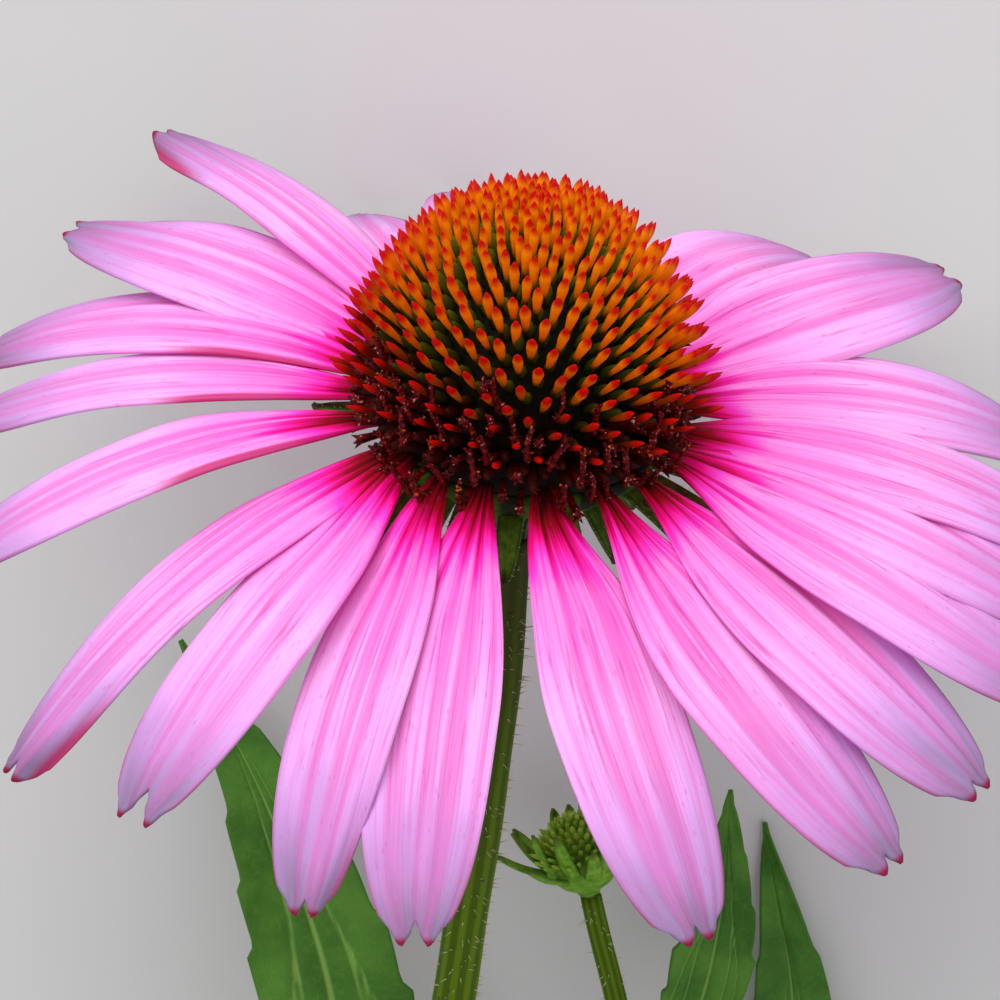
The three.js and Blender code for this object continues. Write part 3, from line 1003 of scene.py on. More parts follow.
@dataclass(frozen=True)
class FloorFinish:
    """Plain pale floor."""

    colour: Colour = paint(212, 211, 208)

    def material(self) -> bpy.types.Material:
        """Builds the material."""
        return Shader("floor").finish(Base_Color=self.colour, Roughness=0.85)


# ---------- the bloom ----------


@dataclass(frozen=True)
class Head:
    """Where the bloom stands: its own frame has Z along the cone's axis."""

    height: float = 51.0
    tilt: float = 14.0
    lean: float = 4.0

    def matrix(self) -> Matrix:
        """Works out where the bloom stands.

        Returns:
            The move from its own frame to the plant's, both in millimetres.
        """
        tilted = Matrix.Rotation(math.radians(90 - self.tilt), 4, "X")
        turn = tilted @ Matrix.Rotation(math.radians(-self.lean), 4, "Y")
        return Matrix.Translation((0, 0, self.height)) @ turn @ Matrix.Rotation(math.pi, 4, "Z")


@dataclass(frozen=True)
class Ray:
    """One ray floret: its direction round the cone, slopes, size and habits. Degrees and millimetres."""

    azimuth: float
    rise_root: float
    rise_tip: float
    length: float
    width: float
    bend: float = 0.0
    roll: float = 0.0
    curl_low: float = 0.0
    curl_high: float = 0.0
    rim: float = 0.0
    notch: float = 1.0
    fork: float = 0.38
    base_width: float = 0.1
    widest_at: float = 0.52
    swell: float = 1.1
    root_shift: float = 0.0
    bract: float = 0.0
    bract_size: float = 1.0


RAYS = (
    Ray(18, 9, -35, 43, 12, 0, 6),
    Ray(37.5, 12.5, -13, 41.5, 14, 4, 6),
    Ray(57, 20, -34, 42.5, 12, -2, 4),
    Ray(75, 4, -52, 42, 11.5),
    Ray(95.7, 12, -22, 40, 11),
    Ray(108, 10, -27, 41, 11, -5),
    Ray(125, 19, -6, 44.5, 10, 10, 4, curl_high=1.0),
    Ray(141, 15, -15, 41.5, 12.4, 7, -16, curl_low=0.7),
    Ray(152, 13, -40, 46.5, 10.5, 7, -14, curl_high=0.5, rim=0.8),
    Ray(166, 5, -33, 42.5, 9.4, 6, -8, curl_high=0.5, rim=1.0, bract_size=0.22),
    Ray(186, 1, -44, 44, 11.1, 7, -4, rim=1.0, bract=-10, bract_size=0.22),
    Ray(
        207.4, -15, -53, 46, 9.5, 6.5, curl_high=1.0, notch=1.3,
        base_width=0.16, widest_at=0.38, swell=0.8, root_shift=-0.4,
    ),
    Ray(
        225, -17, -42, 42.5, 10.8, 12.5, notch=2.2, fork=0.6,
        base_width=0.12, swell=1.0, root_shift=1.4, bract=-5,
    ),
    Ray(
        241, -24, -48, 43, 9.3, 22.5, curl_high=0.6, fork=0.34,
        base_width=0.12, swell=1.0, root_shift=1.0, bract=-7,
    ),
    Ray(255, -28, -46, 43, 11, 17, notch=1.4, fork=0.45, bract=-7),
    Ray(284, -26, -42, 43.5, 11.8, 18, fork=0.34, base_width=0.14, root_shift=1.2),
    Ray(302.5, -19, -34, 44, 12.4, 21, swell=1.5, bract=-11.5),
    Ray(318.8, -13, -32, 42.9, 12.9, 9, swell=1.5, root_shift=-0.5, bract=-8),
    Ray(333, -5, -27, 43, 12, 2, swell=1.5, root_shift=-1.5, bract=-3),
    Ray(345, 2, -34, 43, 12, 2),
    Ray(358, 7, -36, 43, 12),
)


@dataclass
class RayFlorets:
    """The ring of pink ray florets, each one a thin toothed blade."""

    head: Head
    material: bpy.types.Material
    rays: tuple[Ray, ...] = RAYS
    root_radius: float = 11.95
    root_drop: float = 2.0
    wall: float = 0.34
    end_taper: float = 0.96
    end_round: float = 2.6
    end_width: float = 0.44
    tooth_cut: float = 0.036
    shoulder_cut: float = 0.06
    edge_droop: float = 0.7
    root_droop: float = 0.9
    shingle: float = 0.55
    furrow: float = 0.34
    furrow_width: float = 0.13
    furrow_at: float = 0.42
    furrow_stray: float = 0.1
    ripple: float = 0.05
    ripples: float = 22.0
    waves: float = 8.0
    curl_depth: float = 1.6
    curl_narrowing: float = 0.22
    columns: int = 36
    rows: int = 72
    steps: int = 48

    def width_share(self, share: float, ray: Ray) -> float:
        """Works out the outline of a ray.

        Args:
            share: the share of the length.
            ray: its size and habits.

        Returns:
            The share of the full width there.
        """
        if share < ray.widest_at:
            swollen = math.sin(share / ray.widest_at * math.pi / 2) ** ray.swell
            return ray.base_width + (1 - ray.base_width) * swollen
        past = (share - ray.widest_at) / (1 - ray.widest_at)
        return math.sqrt(max(self.end_width**2, 1 - self.end_taper * past**self.end_round))

    def end_share(self, across: float, ray: Ray) -> float:
        """Works out the end of a ray: two pointed teeth.

        Args:
            across: the place across, from -1 to 1.
            ray: its size and habits.

        Returns:
            How far the end reaches there, as a share of the length.
        """
        reach = abs(across)
        if reach < ray.fork:
            away = 1 - reach / ray.fork
            return 1 - self.tooth_cut * ray.notch * (0.6 * away + 0.4 * away**2)
        away = (reach - ray.fork) / (1 - ray.fork)
        return 1 - self.shoulder_cut * (0.2 * away + 0.8 * away**2)

    def blade(self, ray: Ray, chance: random.Random) -> Sculpt:
        """Shapes one ray floret in the bloom's frame.

        Args:
            ray: its direction, size and habits.
            chance: where its small accidents come from.

        Returns:
            The open sheet.
        """
        root = heading(ray.azimuth, 0) * self.root_radius - Vector((0, 0, self.root_drop))
        track = arching(
            root, ray.azimuth, ray.rise_root, ray.rise_tip, ray.length, ray.bend, ray.roll, self.steps,
        )
        tint = chance.random()
        furrows = []
        for side in (-1, 1):
            centre = side * self.furrow_at + chance.uniform(-self.furrow_stray, self.furrow_stray)
            furrows.append((centre, self.furrow * chance.uniform(0.6, 1.25)))
        furrows.append((chance.uniform(-0.12, 0.12), self.furrow * chance.uniform(0.1, 0.5)))
        wave_turn, wave_size = chance.uniform(0, ABOUT_A_TURN), chance.uniform(0.12, 0.3)
        ripple_turn = chance.uniform(0, ABOUT_A_TURN)

        def place(along: float, across: float) -> Placed:
            """Bends the flat grid into the ray."""
            share = along * self.end_share(across, ray)
            spot, full = track.at(share), self.width_share(share, ray)
            half = ray.width / 2 * full
            arch = self.edge_droop + self.root_droop * smooth(share, 0.4, 0.05)
            relief = -full * arch * across * across
            relief -= full * self.shingle * across * smooth(share, 0.03, 0.25)
            deep = 0.0
            for centre, depth in furrows:
                cut = bell(across, centre, self.furrow_width)
                relief -= depth * cut * smooth(share, 0.02, 0.15) * smooth(share, 1.0, 0.75)
                deep = max(deep, cut)
            relief += self.ripple * math.cos(across * self.ripples + ripple_turn) * smooth(share, 0.1, 0.3)
            wave = wave_size * math.sin(share * self.waves + wave_turn)
            relief += wave * across**2 * smooth(share, 0.2, 0.6)
            low_edge = smooth(across, 0.35, 1.0) * ray.curl_low
            high_edge = smooth(-across, 0.35, 1.0) * ray.curl_high
            curl = (low_edge + high_edge) * smooth(share, 0.6, 0.95)
            relief -= self.curl_depth * curl
            narrowed = across * half * (1 - self.curl_narrowing * curl)
            spread = narrowed + ray.root_shift * smooth(share, 0.33, 0.03)
            point = spot.point + spot.side * spread + spot.normal * relief
            under = ray.rim * smooth(-across, 0.72, 0.95) * smooth(share, 0.62, 0.34)
            return point, {"along": share, "tint": tint, "groove": deep, "height": max(curl, under)}

        sheet = Sculpt()
        sheet.grid(self.columns, self.rows, place)
        return sheet

    def build(self) -> None:
        """Makes one piece for each ray floret."""
        home = self.head.matrix()
        for number, ray in enumerate(self.rays, 1):
            sheet = self.blade(ray, random.Random(SEED + number))
            name = f"ray_floret_{number:02d}"
            sheet.piece(name, self.material, Slot.PETAL, ["ray_florets"], home, self.wall)


@dataclass
class Dome:
    """An egg-shaped core that scales or florets stand on, in its own frame with Z up."""

    radius: float
    height: float

    def at(self, azimuth: float, share: float) -> tuple[Vector, Vector]:
        """Reads the surface.

        Args:
            azimuth: the direction round the axis, in radians.
            share: the share of the height.

        Returns:
            The point there and the outward direction.
        """
        reach = math.sqrt(max(0.0, 1 - share * share))
        spoke = Vector((math.cos(azimuth), math.sin(azimuth), 0))
        outward = spoke * (reach / self.radius) + Vector((0, 0, share / self.height))
        return spoke * (self.radius * reach) + Vector((0, 0, self.height * share)), outward.normalized()

    def outline(self, rings: int, foot: float = 0.0) -> list[tuple[float, float]]:
        """Returns the radius and height of rings from its foot, at that height, to its top."""
        turns = [ring / rings * math.pi / 2 for ring in range(rings + 1)]
        return [(self.radius * math.cos(turn), foot + self.height * math.sin(turn)) for turn in turns]


@dataclass
class Cone:
    """The raised disc: a core painted near black as shade, stiff scales in spirals, and florets between
    them.
    """

    head: Head
    dome: Dome = field(default_factory=lambda: Dome(12.0, 16.4))
    count: int = 560
    lowest: float = -0.17
    crowding: float = 1.32
    length_low: float = 6.5
    length_top: float = 4.3
    shoulder: float = 0.5
    lift_low: float = 0.36
    lift_top: float = 0.8
    lift_hanging: float = -0.1
    sunk: float = 0.6
    bare_below: float = 0.03
    open_below: float = 0.36
    hang_below: float = 0.1
    style_out: float = 0.3
    style_share: float = 0.66
    style_side: float = 0.9
    style_lean: float = -0.18
    lopsided: float = 0.08
    scale_stray: float = 0.035
    floret_stray: float = 0.12
    style_stray: float = 0.16
    bow: float = 0.4
    core_rings: int = 16
    rim_outline: Outline = ((0.0, -3.1), (11.8, -3.1), (12.2, -2.6), (12.2, -1.4), (12.0, -0.6))
    scale_outline: Outline = (
        (0.24, 0.0), (0.28, 0.3), (0.37, 0.5), (0.47, 0.66), (0.51, 0.75), (0.46, 0.84), (0.3, 0.92),
        (0.13, 0.97), (0.0, 1.0),
    )
    bud_outline: Outline = ((0.42, 0.0), (0.5, 0.4), (0.48, 0.66), (0.3, 0.88), (0.0, 1.0))
    bud_low: float = 3.1
    bud_top: float = 2.3
    tube_outline: Outline = ((0.3, 0.0), (0.34, 0.5), (0.42, 0.8), (0.5, 0.93), (0.0, 0.86))
    tube_length: float = 3.6
    lobe_radius: float = 0.45
    lobes: int = 5

    def spread(self, number: float) -> float:
        """Returns the share of the height where a scale roots, counted from the top."""
        down = (number + 0.5) / self.count
        return lerp(self.lowest, 1.0, 1 - down**self.crowding)

    def age(self, azimuth: float, share: float) -> float:
        """Returns the share of the height that a place looks like: the florets open on one side first."""
        return share + self.lopsided * math.cos(azimuth)

    def direction(self, outward: Vector, share: float) -> Vector:
        """Works out the way a scale points: out of the core and a little up.

        Args:
            outward: the core's outward direction there.
            share: the share of the height.

        Returns:
            The direction.
        """
        hang = smooth(share, self.hang_below, self.lowest)
        lift = lerp(lerp(self.lift_low, self.lift_top, share), self.lift_hanging, hang)
        return (outward + Vector((0, 0, lift))).normalized()

    def core(self) -> None:
        """Makes the core, painted near black as shade, with the rim that the ray florets grow from."""
        outline = [*self.rim_outline, *self.dome.outline(self.core_rings)]
        shape = Sculpt()
        shape.lathe(outline, 64)
        for vert in shape.mesh.verts:
            shape.mark((vert,), height=clamp(vert.co.z / self.dome.height))
        # Painted shade: the core carries no along numbers, so the finish's shade colour, near black, covers
        # most of it.
        olive, brown = paint(58, 62, 8), paint(30, 32, 3)
        finish = FloretFinish("cone_core", olive, brown, paint(10, 8, 1), paint(46, 8, 4))
        nodes = ["disc_cone", "ray_florets"]
        shape.piece("cone_core", finish.material(), Slot.CONE, nodes, self.head.matrix())

    def scales(self) -> None:
        """Makes the stiff pointed scales."""
        chance = random.Random(SEED)
        swarm = Swarm()
        swarm.pattern("scale", lambda: swarm.spun(self.scale_outline, 7, flat=0.72, bow=self.bow))
        for number in range(self.count):
            share, azimuth = self.spread(number), number * GOLDEN_TURN
            if share < self.bare_below:
                continue
            point, outward = self.dome.at(azimuth, share)
            along = (self.direction(outward, share) + jolt(chance, self.scale_stray)).normalized()
            length = lerp(self.length_low, self.length_top, share) + self.shoulder * bell(share, 0.7, 0.25)
            length *= chance.uniform(0.93, 1.06)
            stout = chance.uniform(0.88, 1.06) * lerp(0.8, 1.02, smooth(share, 0.05, 0.35))
            stout *= lerp(1.0, 0.84, smooth(share, 0.75, 1.0))
            size = Matrix.Diagonal((stout, stout, length + self.sunk, 1))
            spin = Matrix.Rotation(chance.gauss(0, 0.25), 4, "Z")
            place = stood(point - along * self.sunk, along) @ spin @ size
            swarm.stamp("scale", place, height=self.age(azimuth, share), tint=chance.random())
        swarm.piece("cone_scales", ScaleFinish().material(), Slot.CONE, ["disc_cone"], self.head.matrix())

    def buds(self) -> None:
        """Makes the unopened florets between the scales."""
        chance = random.Random(SEED + 1)
        swarm = Swarm()
        swarm.pattern("bud", lambda: swarm.spun(self.bud_outline, 6))
        for number in range(self.count):
            share = self.spread(number + 0.5)
            azimuth = (number + 0.5) * GOLDEN_TURN + math.pi * 0.5
            point, outward = self.dome.at(azimuth, clamp(share, 0, 0.995))
            along = self.direction(outward, share)
            length = lerp(self.bud_low, self.bud_top, share) * chance.uniform(0.7, 1.25)
            stout = lerp(1.2, 1.0, smooth(share, 0.0, 0.5))
            size = Matrix.Diagonal((stout, stout, length + self.sunk, 1))
            place = stood(point - along * self.sunk, along) @ size
            swarm.stamp("bud", place, height=self.age(azimuth, share), tint=chance.random())
        swarm.piece("floret_buds", FloretFinish().material(), Slot.CONE, ["disc_cone"], self.head.matrix())

    def open_florets(self) -> None:
        """Makes the open florets low on the cone: lobed tubes, forked styles and pollen."""
        chance = random.Random(SEED + 2)
        swarm = Swarm()
        swarm.pattern("tube", lambda: self._lobed_tube(swarm))
        swarm.pattern("style", lambda: self._forked_style(swarm))
        for number in range(self.count):
            share = self.spread(number + 0.25)
            azimuth = (number + 0.25) * GOLDEN_TURN + 1.2
            age = self.age(azimuth, share) + chance.uniform(-0.08, 0.08)
            if chance.random() > smooth(age, self.open_below, self.open_below - 0.2):
                continue
            point, outward = self.dome.at(azimuth, share)
            along = (self.direction(outward, share) + jolt(chance, self.floret_stray)).normalized()
            place = stood(point, along) @ self._spin(chance)
            tint = chance.random()
            size = Matrix.Scale(chance.uniform(0.75, 1.1), 4)
            swarm.stamp("tube", place @ size, height=share, tint=tint * 0.3)
            if abs(math.cos(azimuth)) < self.style_side and chance.random() < self.style_share:
                raised = (outward * self.style_out + Vector((self.style_lean, 0, 1))).normalized()
                raised += jolt(chance, self.style_stray)
                spin = self._spin(chance)
                root = point + along * chance.uniform(2.2, 4.2)
                swarm.stamp("style", stood(root, raised, outward) @ spin @ size, height=share, tint=tint)
        swarm.piece("open_florets", StyleFinish().material(), Slot.CONE, ["disc_cone"], self.head.matrix())

    @staticmethod
    def _spin(chance: random.Random) -> Matrix:
        """Returns a random turn about Z."""
        return Matrix.Rotation(chance.uniform(0, ABOUT_A_TURN), 4, "Z")

    def _lobed_tube(self, swarm: Swarm) -> None:
        """Adds a tube that opens in pointed lobes.

        Args:
            swarm: the mesh that it is added to, before any other pattern.
        """
        swarm.spun(self.tube_outline, 2 * self.lobes)
        for vert in [vert for vert in swarm.mesh.verts if vert.co.length > 0]:
            if math.hypot(vert.co.x, vert.co.y) > self.lobe_radius:
                lobe = math.cos(self.lobes * math.atan2(vert.co.y, vert.co.x))
                vert.co.x *= 1 + 0.35 * lobe
                vert.co.y *= 1 + 0.35 * lobe
                vert.co.z += 0.06 * lobe
            vert.co.z *= self.tube_length

    @staticmethod
    def _forked_style(swarm: Swarm) -> None:
        """Adds a stout beaded column that bends a little and ends in two short arms.

        Args:
            swarm: the mesh that it is added to.
        """
        column = Route([(0, 0, -0.9), (0.12, 0, 0.5), (0.08, 0, 1.8), (-0.1, 0, 2.6)])

        def beaded(share: float, turn: float) -> float:
            """Returns the column's half thickness."""
            return 0.27 + 0.08 * math.sin(share * 36 + turn * ABOUT_A_TURN)

        swarm.tube(column.track(20), 7, 20, beaded)
        for side in (-1, 1):
            arm = Route([(-0.1, 0.04 * side, 2.5), (-0.16, 0.2 * side, 2.85), (-0.3, 0.34 * side, 3.0)])
            swarm.tube(arm.track(6), 5, 8, lambda share, turn: 0.2 - 0.08 * share)

    def build(self) -> None:
        """Makes all the parts of the cone."""
        self.core()
        self.scales()
        self.buds()
        self.open_florets()


@dataclass(frozen=True)
class Bract:
    """A pointed, keeled blade along a track, in millimetres."""

    track: Track
    width: float
    tint: float
    cupped: float
    twist: float = 0.0
    keel: float = 0.0

    def place(self, along: float, across: float) -> Placed:
        """Shapes a flat grid into the blade.

        Args:
            along: the share of the length.
            across: the place across, from -1 to 1.

        Returns:
            The point there and its number for the finish.
        """
        spot = self.track.at(along)
        half = self.width / 2 * max(0.02, math.sqrt(1 - along) * (0.8 + 0.5 * along))
        lift = self.cupped * abs(across) + self.twist * across * along - self.keel * bell(across, 0, 0.25)
        return spot.point + spot.side * across * half + spot.normal * lift, {"tint": self.tint}


@dataclass(frozen=True)
class Row:
    """A row of bracts: where they leave the cup, and their size."""

    radius: float
    drop: float
    length: float
    width: float


@dataclass
class Involucre:
    """The green cup under the bloom, with two rows of pointed bracts."""

    head: Head
    rays: tuple[Ray, ...]
    outline: Outline = (
        (0, -13.4), (1.88, -13.4), (1.95, -12.4), (2.3, -11.0), (3.4, -9.9), (5.2, -8.9), (7.4, -7.8),
        (9.5, -6.5), (11.1, -5.3), (11.9, -4.4), (12.0, -3.7), (11.7, -3.25), (0, -3.25),
    )
    under_ray: float = 18.0
    upper: Row = Row(10.6, 5.2, 11.0, 2.7)
    lower: Row = Row(7.4, 6.6, 7.0, 2.9)
    inset: float = 1.8
    droop: float = 14.0
    cupped: float = 0.3
    keel: float = 0.14
    lower_count: int = 13
    lower_rise: float = -46.0
    first_at: float = 0.6
    hairless: float = 0.3
    hair_stray: float = 0.5
    ridge: float = 0.06
    wall: float = 0.4

    def bract(
        self, shape: Sculpt, row: Row, azimuth: float, rise: float, chance: random.Random,
        size: float = 1.0,
    ) -> None:
        """Adds one bract that leaves the cup and bends down.

        Args:
            shape: the mesh that it is added to.
            row: the row that it belongs to.
            azimuth: its direction round the cup, in degrees.
            rise: its slope where it leaves the cup, in degrees.
            chance: where its small accidents come from.
            size: its length as a share of the row's.
        """
        spoke = heading(azimuth, 0)
        root = spoke * row.radius - Vector((0, 0, row.drop)) - heading(azimuth, rise) * self.inset
        bend, twist = chance.uniform(-6, 6), chance.uniform(-0.2, 0.2)
        length = row.length * size * chance.uniform(0.94, 1.03) + self.inset
        track = arching(root, azimuth, rise, rise - self.droop, length, bend, 0, 12)
        shape.grid(8, 18, Bract(track, row.width, chance.random(), self.cupped, twist, self.keel).place)

    def hairs(self, blades: Sculpt) -> None:
        """Makes short pale hairs along the bracts' edges.

        Args:
            blades: the bracts' mesh, in the bloom's frame.
        """
        chance = random.Random(SEED + 5)
        swarm = Swarm()
        swarm.pattern("hair", lambda: swarm.spun(((0.045, 0.0), (0.0, 1.0)), 3))
        across, along = blades.layers["across"], blades.layers["along"]
        for vert in blades.mesh.verts:
            if abs(vert[across]) < 0.99 or vert[along] > 0.95 or chance.random() < self.hairless:
                continue
            outward = (vert.normal + jolt(chance, self.hair_stray)).normalized()
            others = (edge.other_vert(vert) for edge in vert.link_edges)
            neighbour = min(others, key=lambda other: abs(other[across]))
            outward = (outward * 0.5 + (vert.co - neighbour.co).normalized()).normalized()
            size = Matrix.Diagonal((1, 1, chance.uniform(0.25, 0.55), 1))
            swarm.stamp("hair", stood(vert.co, outward) @ size)
        finish = PlainFinish("pale_hair", paint(196, 200, 160), paint(226, 226, 204), 400.0, 0.6)
        swarm.piece("bract_hairs", finish.material(), Slot.BRACT, ["involucre"], self.head.matrix())

    def build(self) -> None:
        """Makes the cup, the bracts and their hairs."""
        finish = BractFinish().material()
        cup = Sculpt()
        cup.lathe(self.outline, 8 * len(self.rays))
        for vert in cup.mesh.verts:
            ridge = abs(math.cos(math.atan2(vert.co.y, vert.co.x) * len(self.rays) / 2))
            wider = 1 + self.ridge * (ridge - 0.6) * smooth(vert.co.z, -10.0, -6.0)
            vert.co.x, vert.co.y = vert.co.x * wider, vert.co.y * wider
            cup.mark((vert,), groove=ridge)
        home = self.head.matrix()
        cup.piece("bract_cup", CupFinish().material(), Slot.BRACT, ["involucre"], home)
        chance = random.Random(SEED + 4)
        blades = Sculpt()
        for ray in self.rays:
            rise = ray.rise_root - self.under_ray
            self.bract(blades, self.upper, ray.azimuth + ray.bract, rise, chance, ray.bract_size)
        for number in range(self.lower_count):
            azimuth = 360 * (number + self.first_at) / self.lower_count
            self.bract(blades, self.lower, azimuth, self.lower_rise, chance)
        blades.mesh.normal_update()
        self.hairs(blades)
        blades.piece("bracts", finish, Slot.BRACT, ["involucre"], home, self.wall)


# ---------- stems ----------


@dataclass(frozen=True)
class Bar:
    """The route and half thickness of a stem."""

    route: Route
    start_radius: float
    end_radius: float

    def radius(self, share: float) -> float:
        """Returns the half thickness at a share of the length."""
        return lerp(self.start_radius, self.end_radius, share)

    def beside(self, share: float, side: int, angle: float, reach: float) -> Vector:
        """Returns the point just off the stem where something leaves it.

        Args:
            share: how far along the stem.
            side: 1 for the right of the way the stem runs, -1 for the left.
            angle: above or below level, round the stem, in degrees.
            reach: half the thickness of what leaves it.

        Returns:
            The point.
        """
        along = self.route.forward(share)
        level = Vector((along.y, -along.x, 0)).normalized() * side
        upright = (UP - along * along.z).normalized()
        outward = level * math.cos(math.radians(angle)) + upright * math.sin(math.radians(angle))
        return self.route.point(share) + outward * (self.radius(share) + CLEARANCE_MM + reach)


@dataclass
class Stem:
    """A ribbed, bristly stem along a bar, with a swelling where something leaves it."""

    name: str
    node: str
    bar: Bar
    joints: tuple[float, ...]
    rows: int
    bristles: int
    ribs: int = 9
    rib_depth: float = 0.13
    sides: int = 54
    swelling: float = 0.28
    swelling_reach: float = 4.0
    wobble: float = 0.05
    bristle_outline: Outline = ((0.085, 0.0), (0.05, 0.3), (0.0, 1.0))
    bristle_reach: float = 1.2

    def surface(self, share: float, turn: float) -> float:
        """Works out the half thickness.

        Args:
            share: the share of the length.
            turn: the way round, from 0 to 1.

        Returns:
            The half thickness there.
        """
        length = self.bar.route.lengths[-1]
        swell = sum(bell(share * length, joint * length, self.swelling_reach) for joint in self.joints)
        rib = self.rib_depth / 2 * math.cos(2 * math.pi * self.ribs * turn)
        wobble = self.wobble * math.sin(share * length * 0.35 + turn * ABOUT_A_TURN)
        return self.bar.radius(share) - self.rib_depth / 2 + rib + self.swelling * swell + wobble

    def build(self, material: bpy.types.Material, hair: bpy.types.Material) -> None:
        """Makes the stem and its bristles.

        Args:
            material: the stem's finish.
            hair: the bristles' finish.
        """
        track = self.bar.route.track(self.rows)
        shape = Sculpt()
        verts = shape.tube(track, self.sides, self.rows, self.surface)
        for vert in (vert for vert in verts if vert.is_valid):
            spot = track.at(vert[shape.layers["along"]])
            arm = vert.co - spot.point
            turn = math.atan2(arm.dot(spot.normal), arm.dot(spot.side)) / (2 * math.pi)
            shape.mark((vert,), groove=(1 + math.cos(2 * math.pi * self.ribs * turn)) / 2)
        shape.piece(self.name, material, Slot.STEM, [self.node])
        swarm = Swarm()
        swarm.pattern("bristle", lambda: swarm.spun(self.bristle_outline, 3, bow=0.12))
        chance = random.Random(SEED + self.rows)
        for _ in range(self.bristles):
            share, turn = chance.random(), chance.random()
            spot = track.at(share)
            outward = spot.outward(turn)
            root = spot.point + outward * (self.surface(share, turn) - 0.05)
            lean = (outward - spot.forward * chance.uniform(-0.1, 0.7)).normalized()
            if root.z + lean.z * self.bristle_reach < 0.1:
                continue
            size = Matrix.Diagonal((1, 1, chance.uniform(0.5, 1.25), 1))
            swarm.stamp("bristle", stood(root, lean, spot.forward) @ size)
        swarm.piece(f"{self.name}_bristles", hair, Slot.STEM, [self.node])


# ---------- leaves ----------


@dataclass(frozen=True)
class Leaf:
    """A toothed leaf: its node, size, where it leaves its stem, and the route of its midrib."""

    node: str
    width: float
    roll: float
    share: float
    side: int
    angle: float
    route: tuple[tuple[float, float, float], ...]
    teeth: int = 9
    wall: float = 0.36
    stalk: float = 0.1
    stalk_width: float = 0.14
    tip_width: float = 0.012
    widest_at: float = 0.36
    fold: float = 0.16
    tooth_cut: float = 0.13
    toothed_from: float = 0.2
    toothed_to: float = 0.95
    vein_depth: float = 0.3
    wave: float = 0.35
    off_floor: float = 0.02
    columns: int = 34
    rows: int = 96

    def width_share(self, share: float) -> float:
        """Works out the outline: a stalk, then a pointed blade.

        Args:
            share: the share of the length.

        Returns:
            The share of the full width there.
        """
        widened = smooth(share, self.stalk * 0.6, self.stalk * 1.4)
        past = clamp((share - self.stalk) / (1 - self.stalk))
        swollen = math.sin(math.pi * past ** (math.log(0.5) / math.log(self.widest_at)))
        blade = self.stalk_width * (1 - past) + max(0.0, swollen)
        return max(self.tip_width, lerp(self.stalk_width, blade, widened))

    def tooth(self, share: float) -> float:
        """Works out the teeth, which rise slowly and drop at their points.

        Args:
            share: the share of the length.

        Returns:
            How much of the half width is left there.
        """
        if not self.toothed_from < share < self.toothed_to:
            return 1.0
        phase = (share - self.toothed_from) / (self.toothed_to - self.toothed_from) * self.teeth % 1
        return 1 - self.tooth_cut * (1 - phase if phase > 0.12 else phase / 0.12 * 0.88)

    def vein(self, share: float, across: float) -> float:
        """Works out the main veins: a midrib and arching side veins.

        Args:
            share: the share of the length.
            across: the place across, from -1 to 1.

        Returns:
            How near a vein is, from 0 to 1.
        """
        near = bell(across, 0, 0.05 + 0.03 * (1 - share))
        past = clamp((share - self.stalk * 0.8) / (1 - self.stalk * 0.8))
        for reach, fade in ((0.42, 0.96), (0.74, 0.72)):
            arc = reach * math.sin(math.pi * clamp(past / fade) ** 0.62) ** 0.8 if past < fade else 0.0
            near = max(near, 0.8 * bell(abs(across), arc, 0.045) * smooth(past, fade, fade * 0.8))
        return near

    def build(self, bar: Bar, material: bpy.types.Material) -> None:
        """Makes the leaf beside its stem.

        Args:
            bar: the stem that it leaves.
            material: its finish.
        """
        start = bar.beside(self.share, self.side, self.angle, self.width / 2 * self.stalk_width)
        midrib = Route([start, *self.route])
        chance = random.Random(SEED + int(self.width * 10))
        wave_turn = chance.uniform(0, ABOUT_A_TURN)
        tint = chance.random()

        def place(along: float, across: float) -> Placed:
            """Bends the flat grid into the leaf."""
            forward = midrib.forward(along)
            side = forward.cross(UP).normalized()
            side = Matrix.Rotation(math.radians(self.roll), 3, forward) @ side
            normal = side.cross(forward)
            tooth = lerp(1.0, self.tooth(along), abs(across) ** 3)
            half = self.width / 2 * self.width_share(along) * tooth
            near = self.vein(along, across)
            lift = self.fold * half * abs(across) ** 1.5 - self.vein_depth * near * smooth(along, 0.02, 0.2)
            wave = self.wave * math.sin(along * 19 + wave_turn + 2 * across)
            lift += wave * across**2 * smooth(along, 0.2, 0.5)
            point = midrib.point(along) + side * across * half + normal * lift
            point.z = max(point.z, self.wall / 2 + self.off_floor)
            return point, {"tint": tint, "groove": near}

        sheet = Sculpt()
        sheet.grid(self.columns, self.rows, place)
        sheet.piece(f"{self.node}_blade", material, Slot.LEAF, [self.node], wall=self.wall)


# ---------- the bud ----------


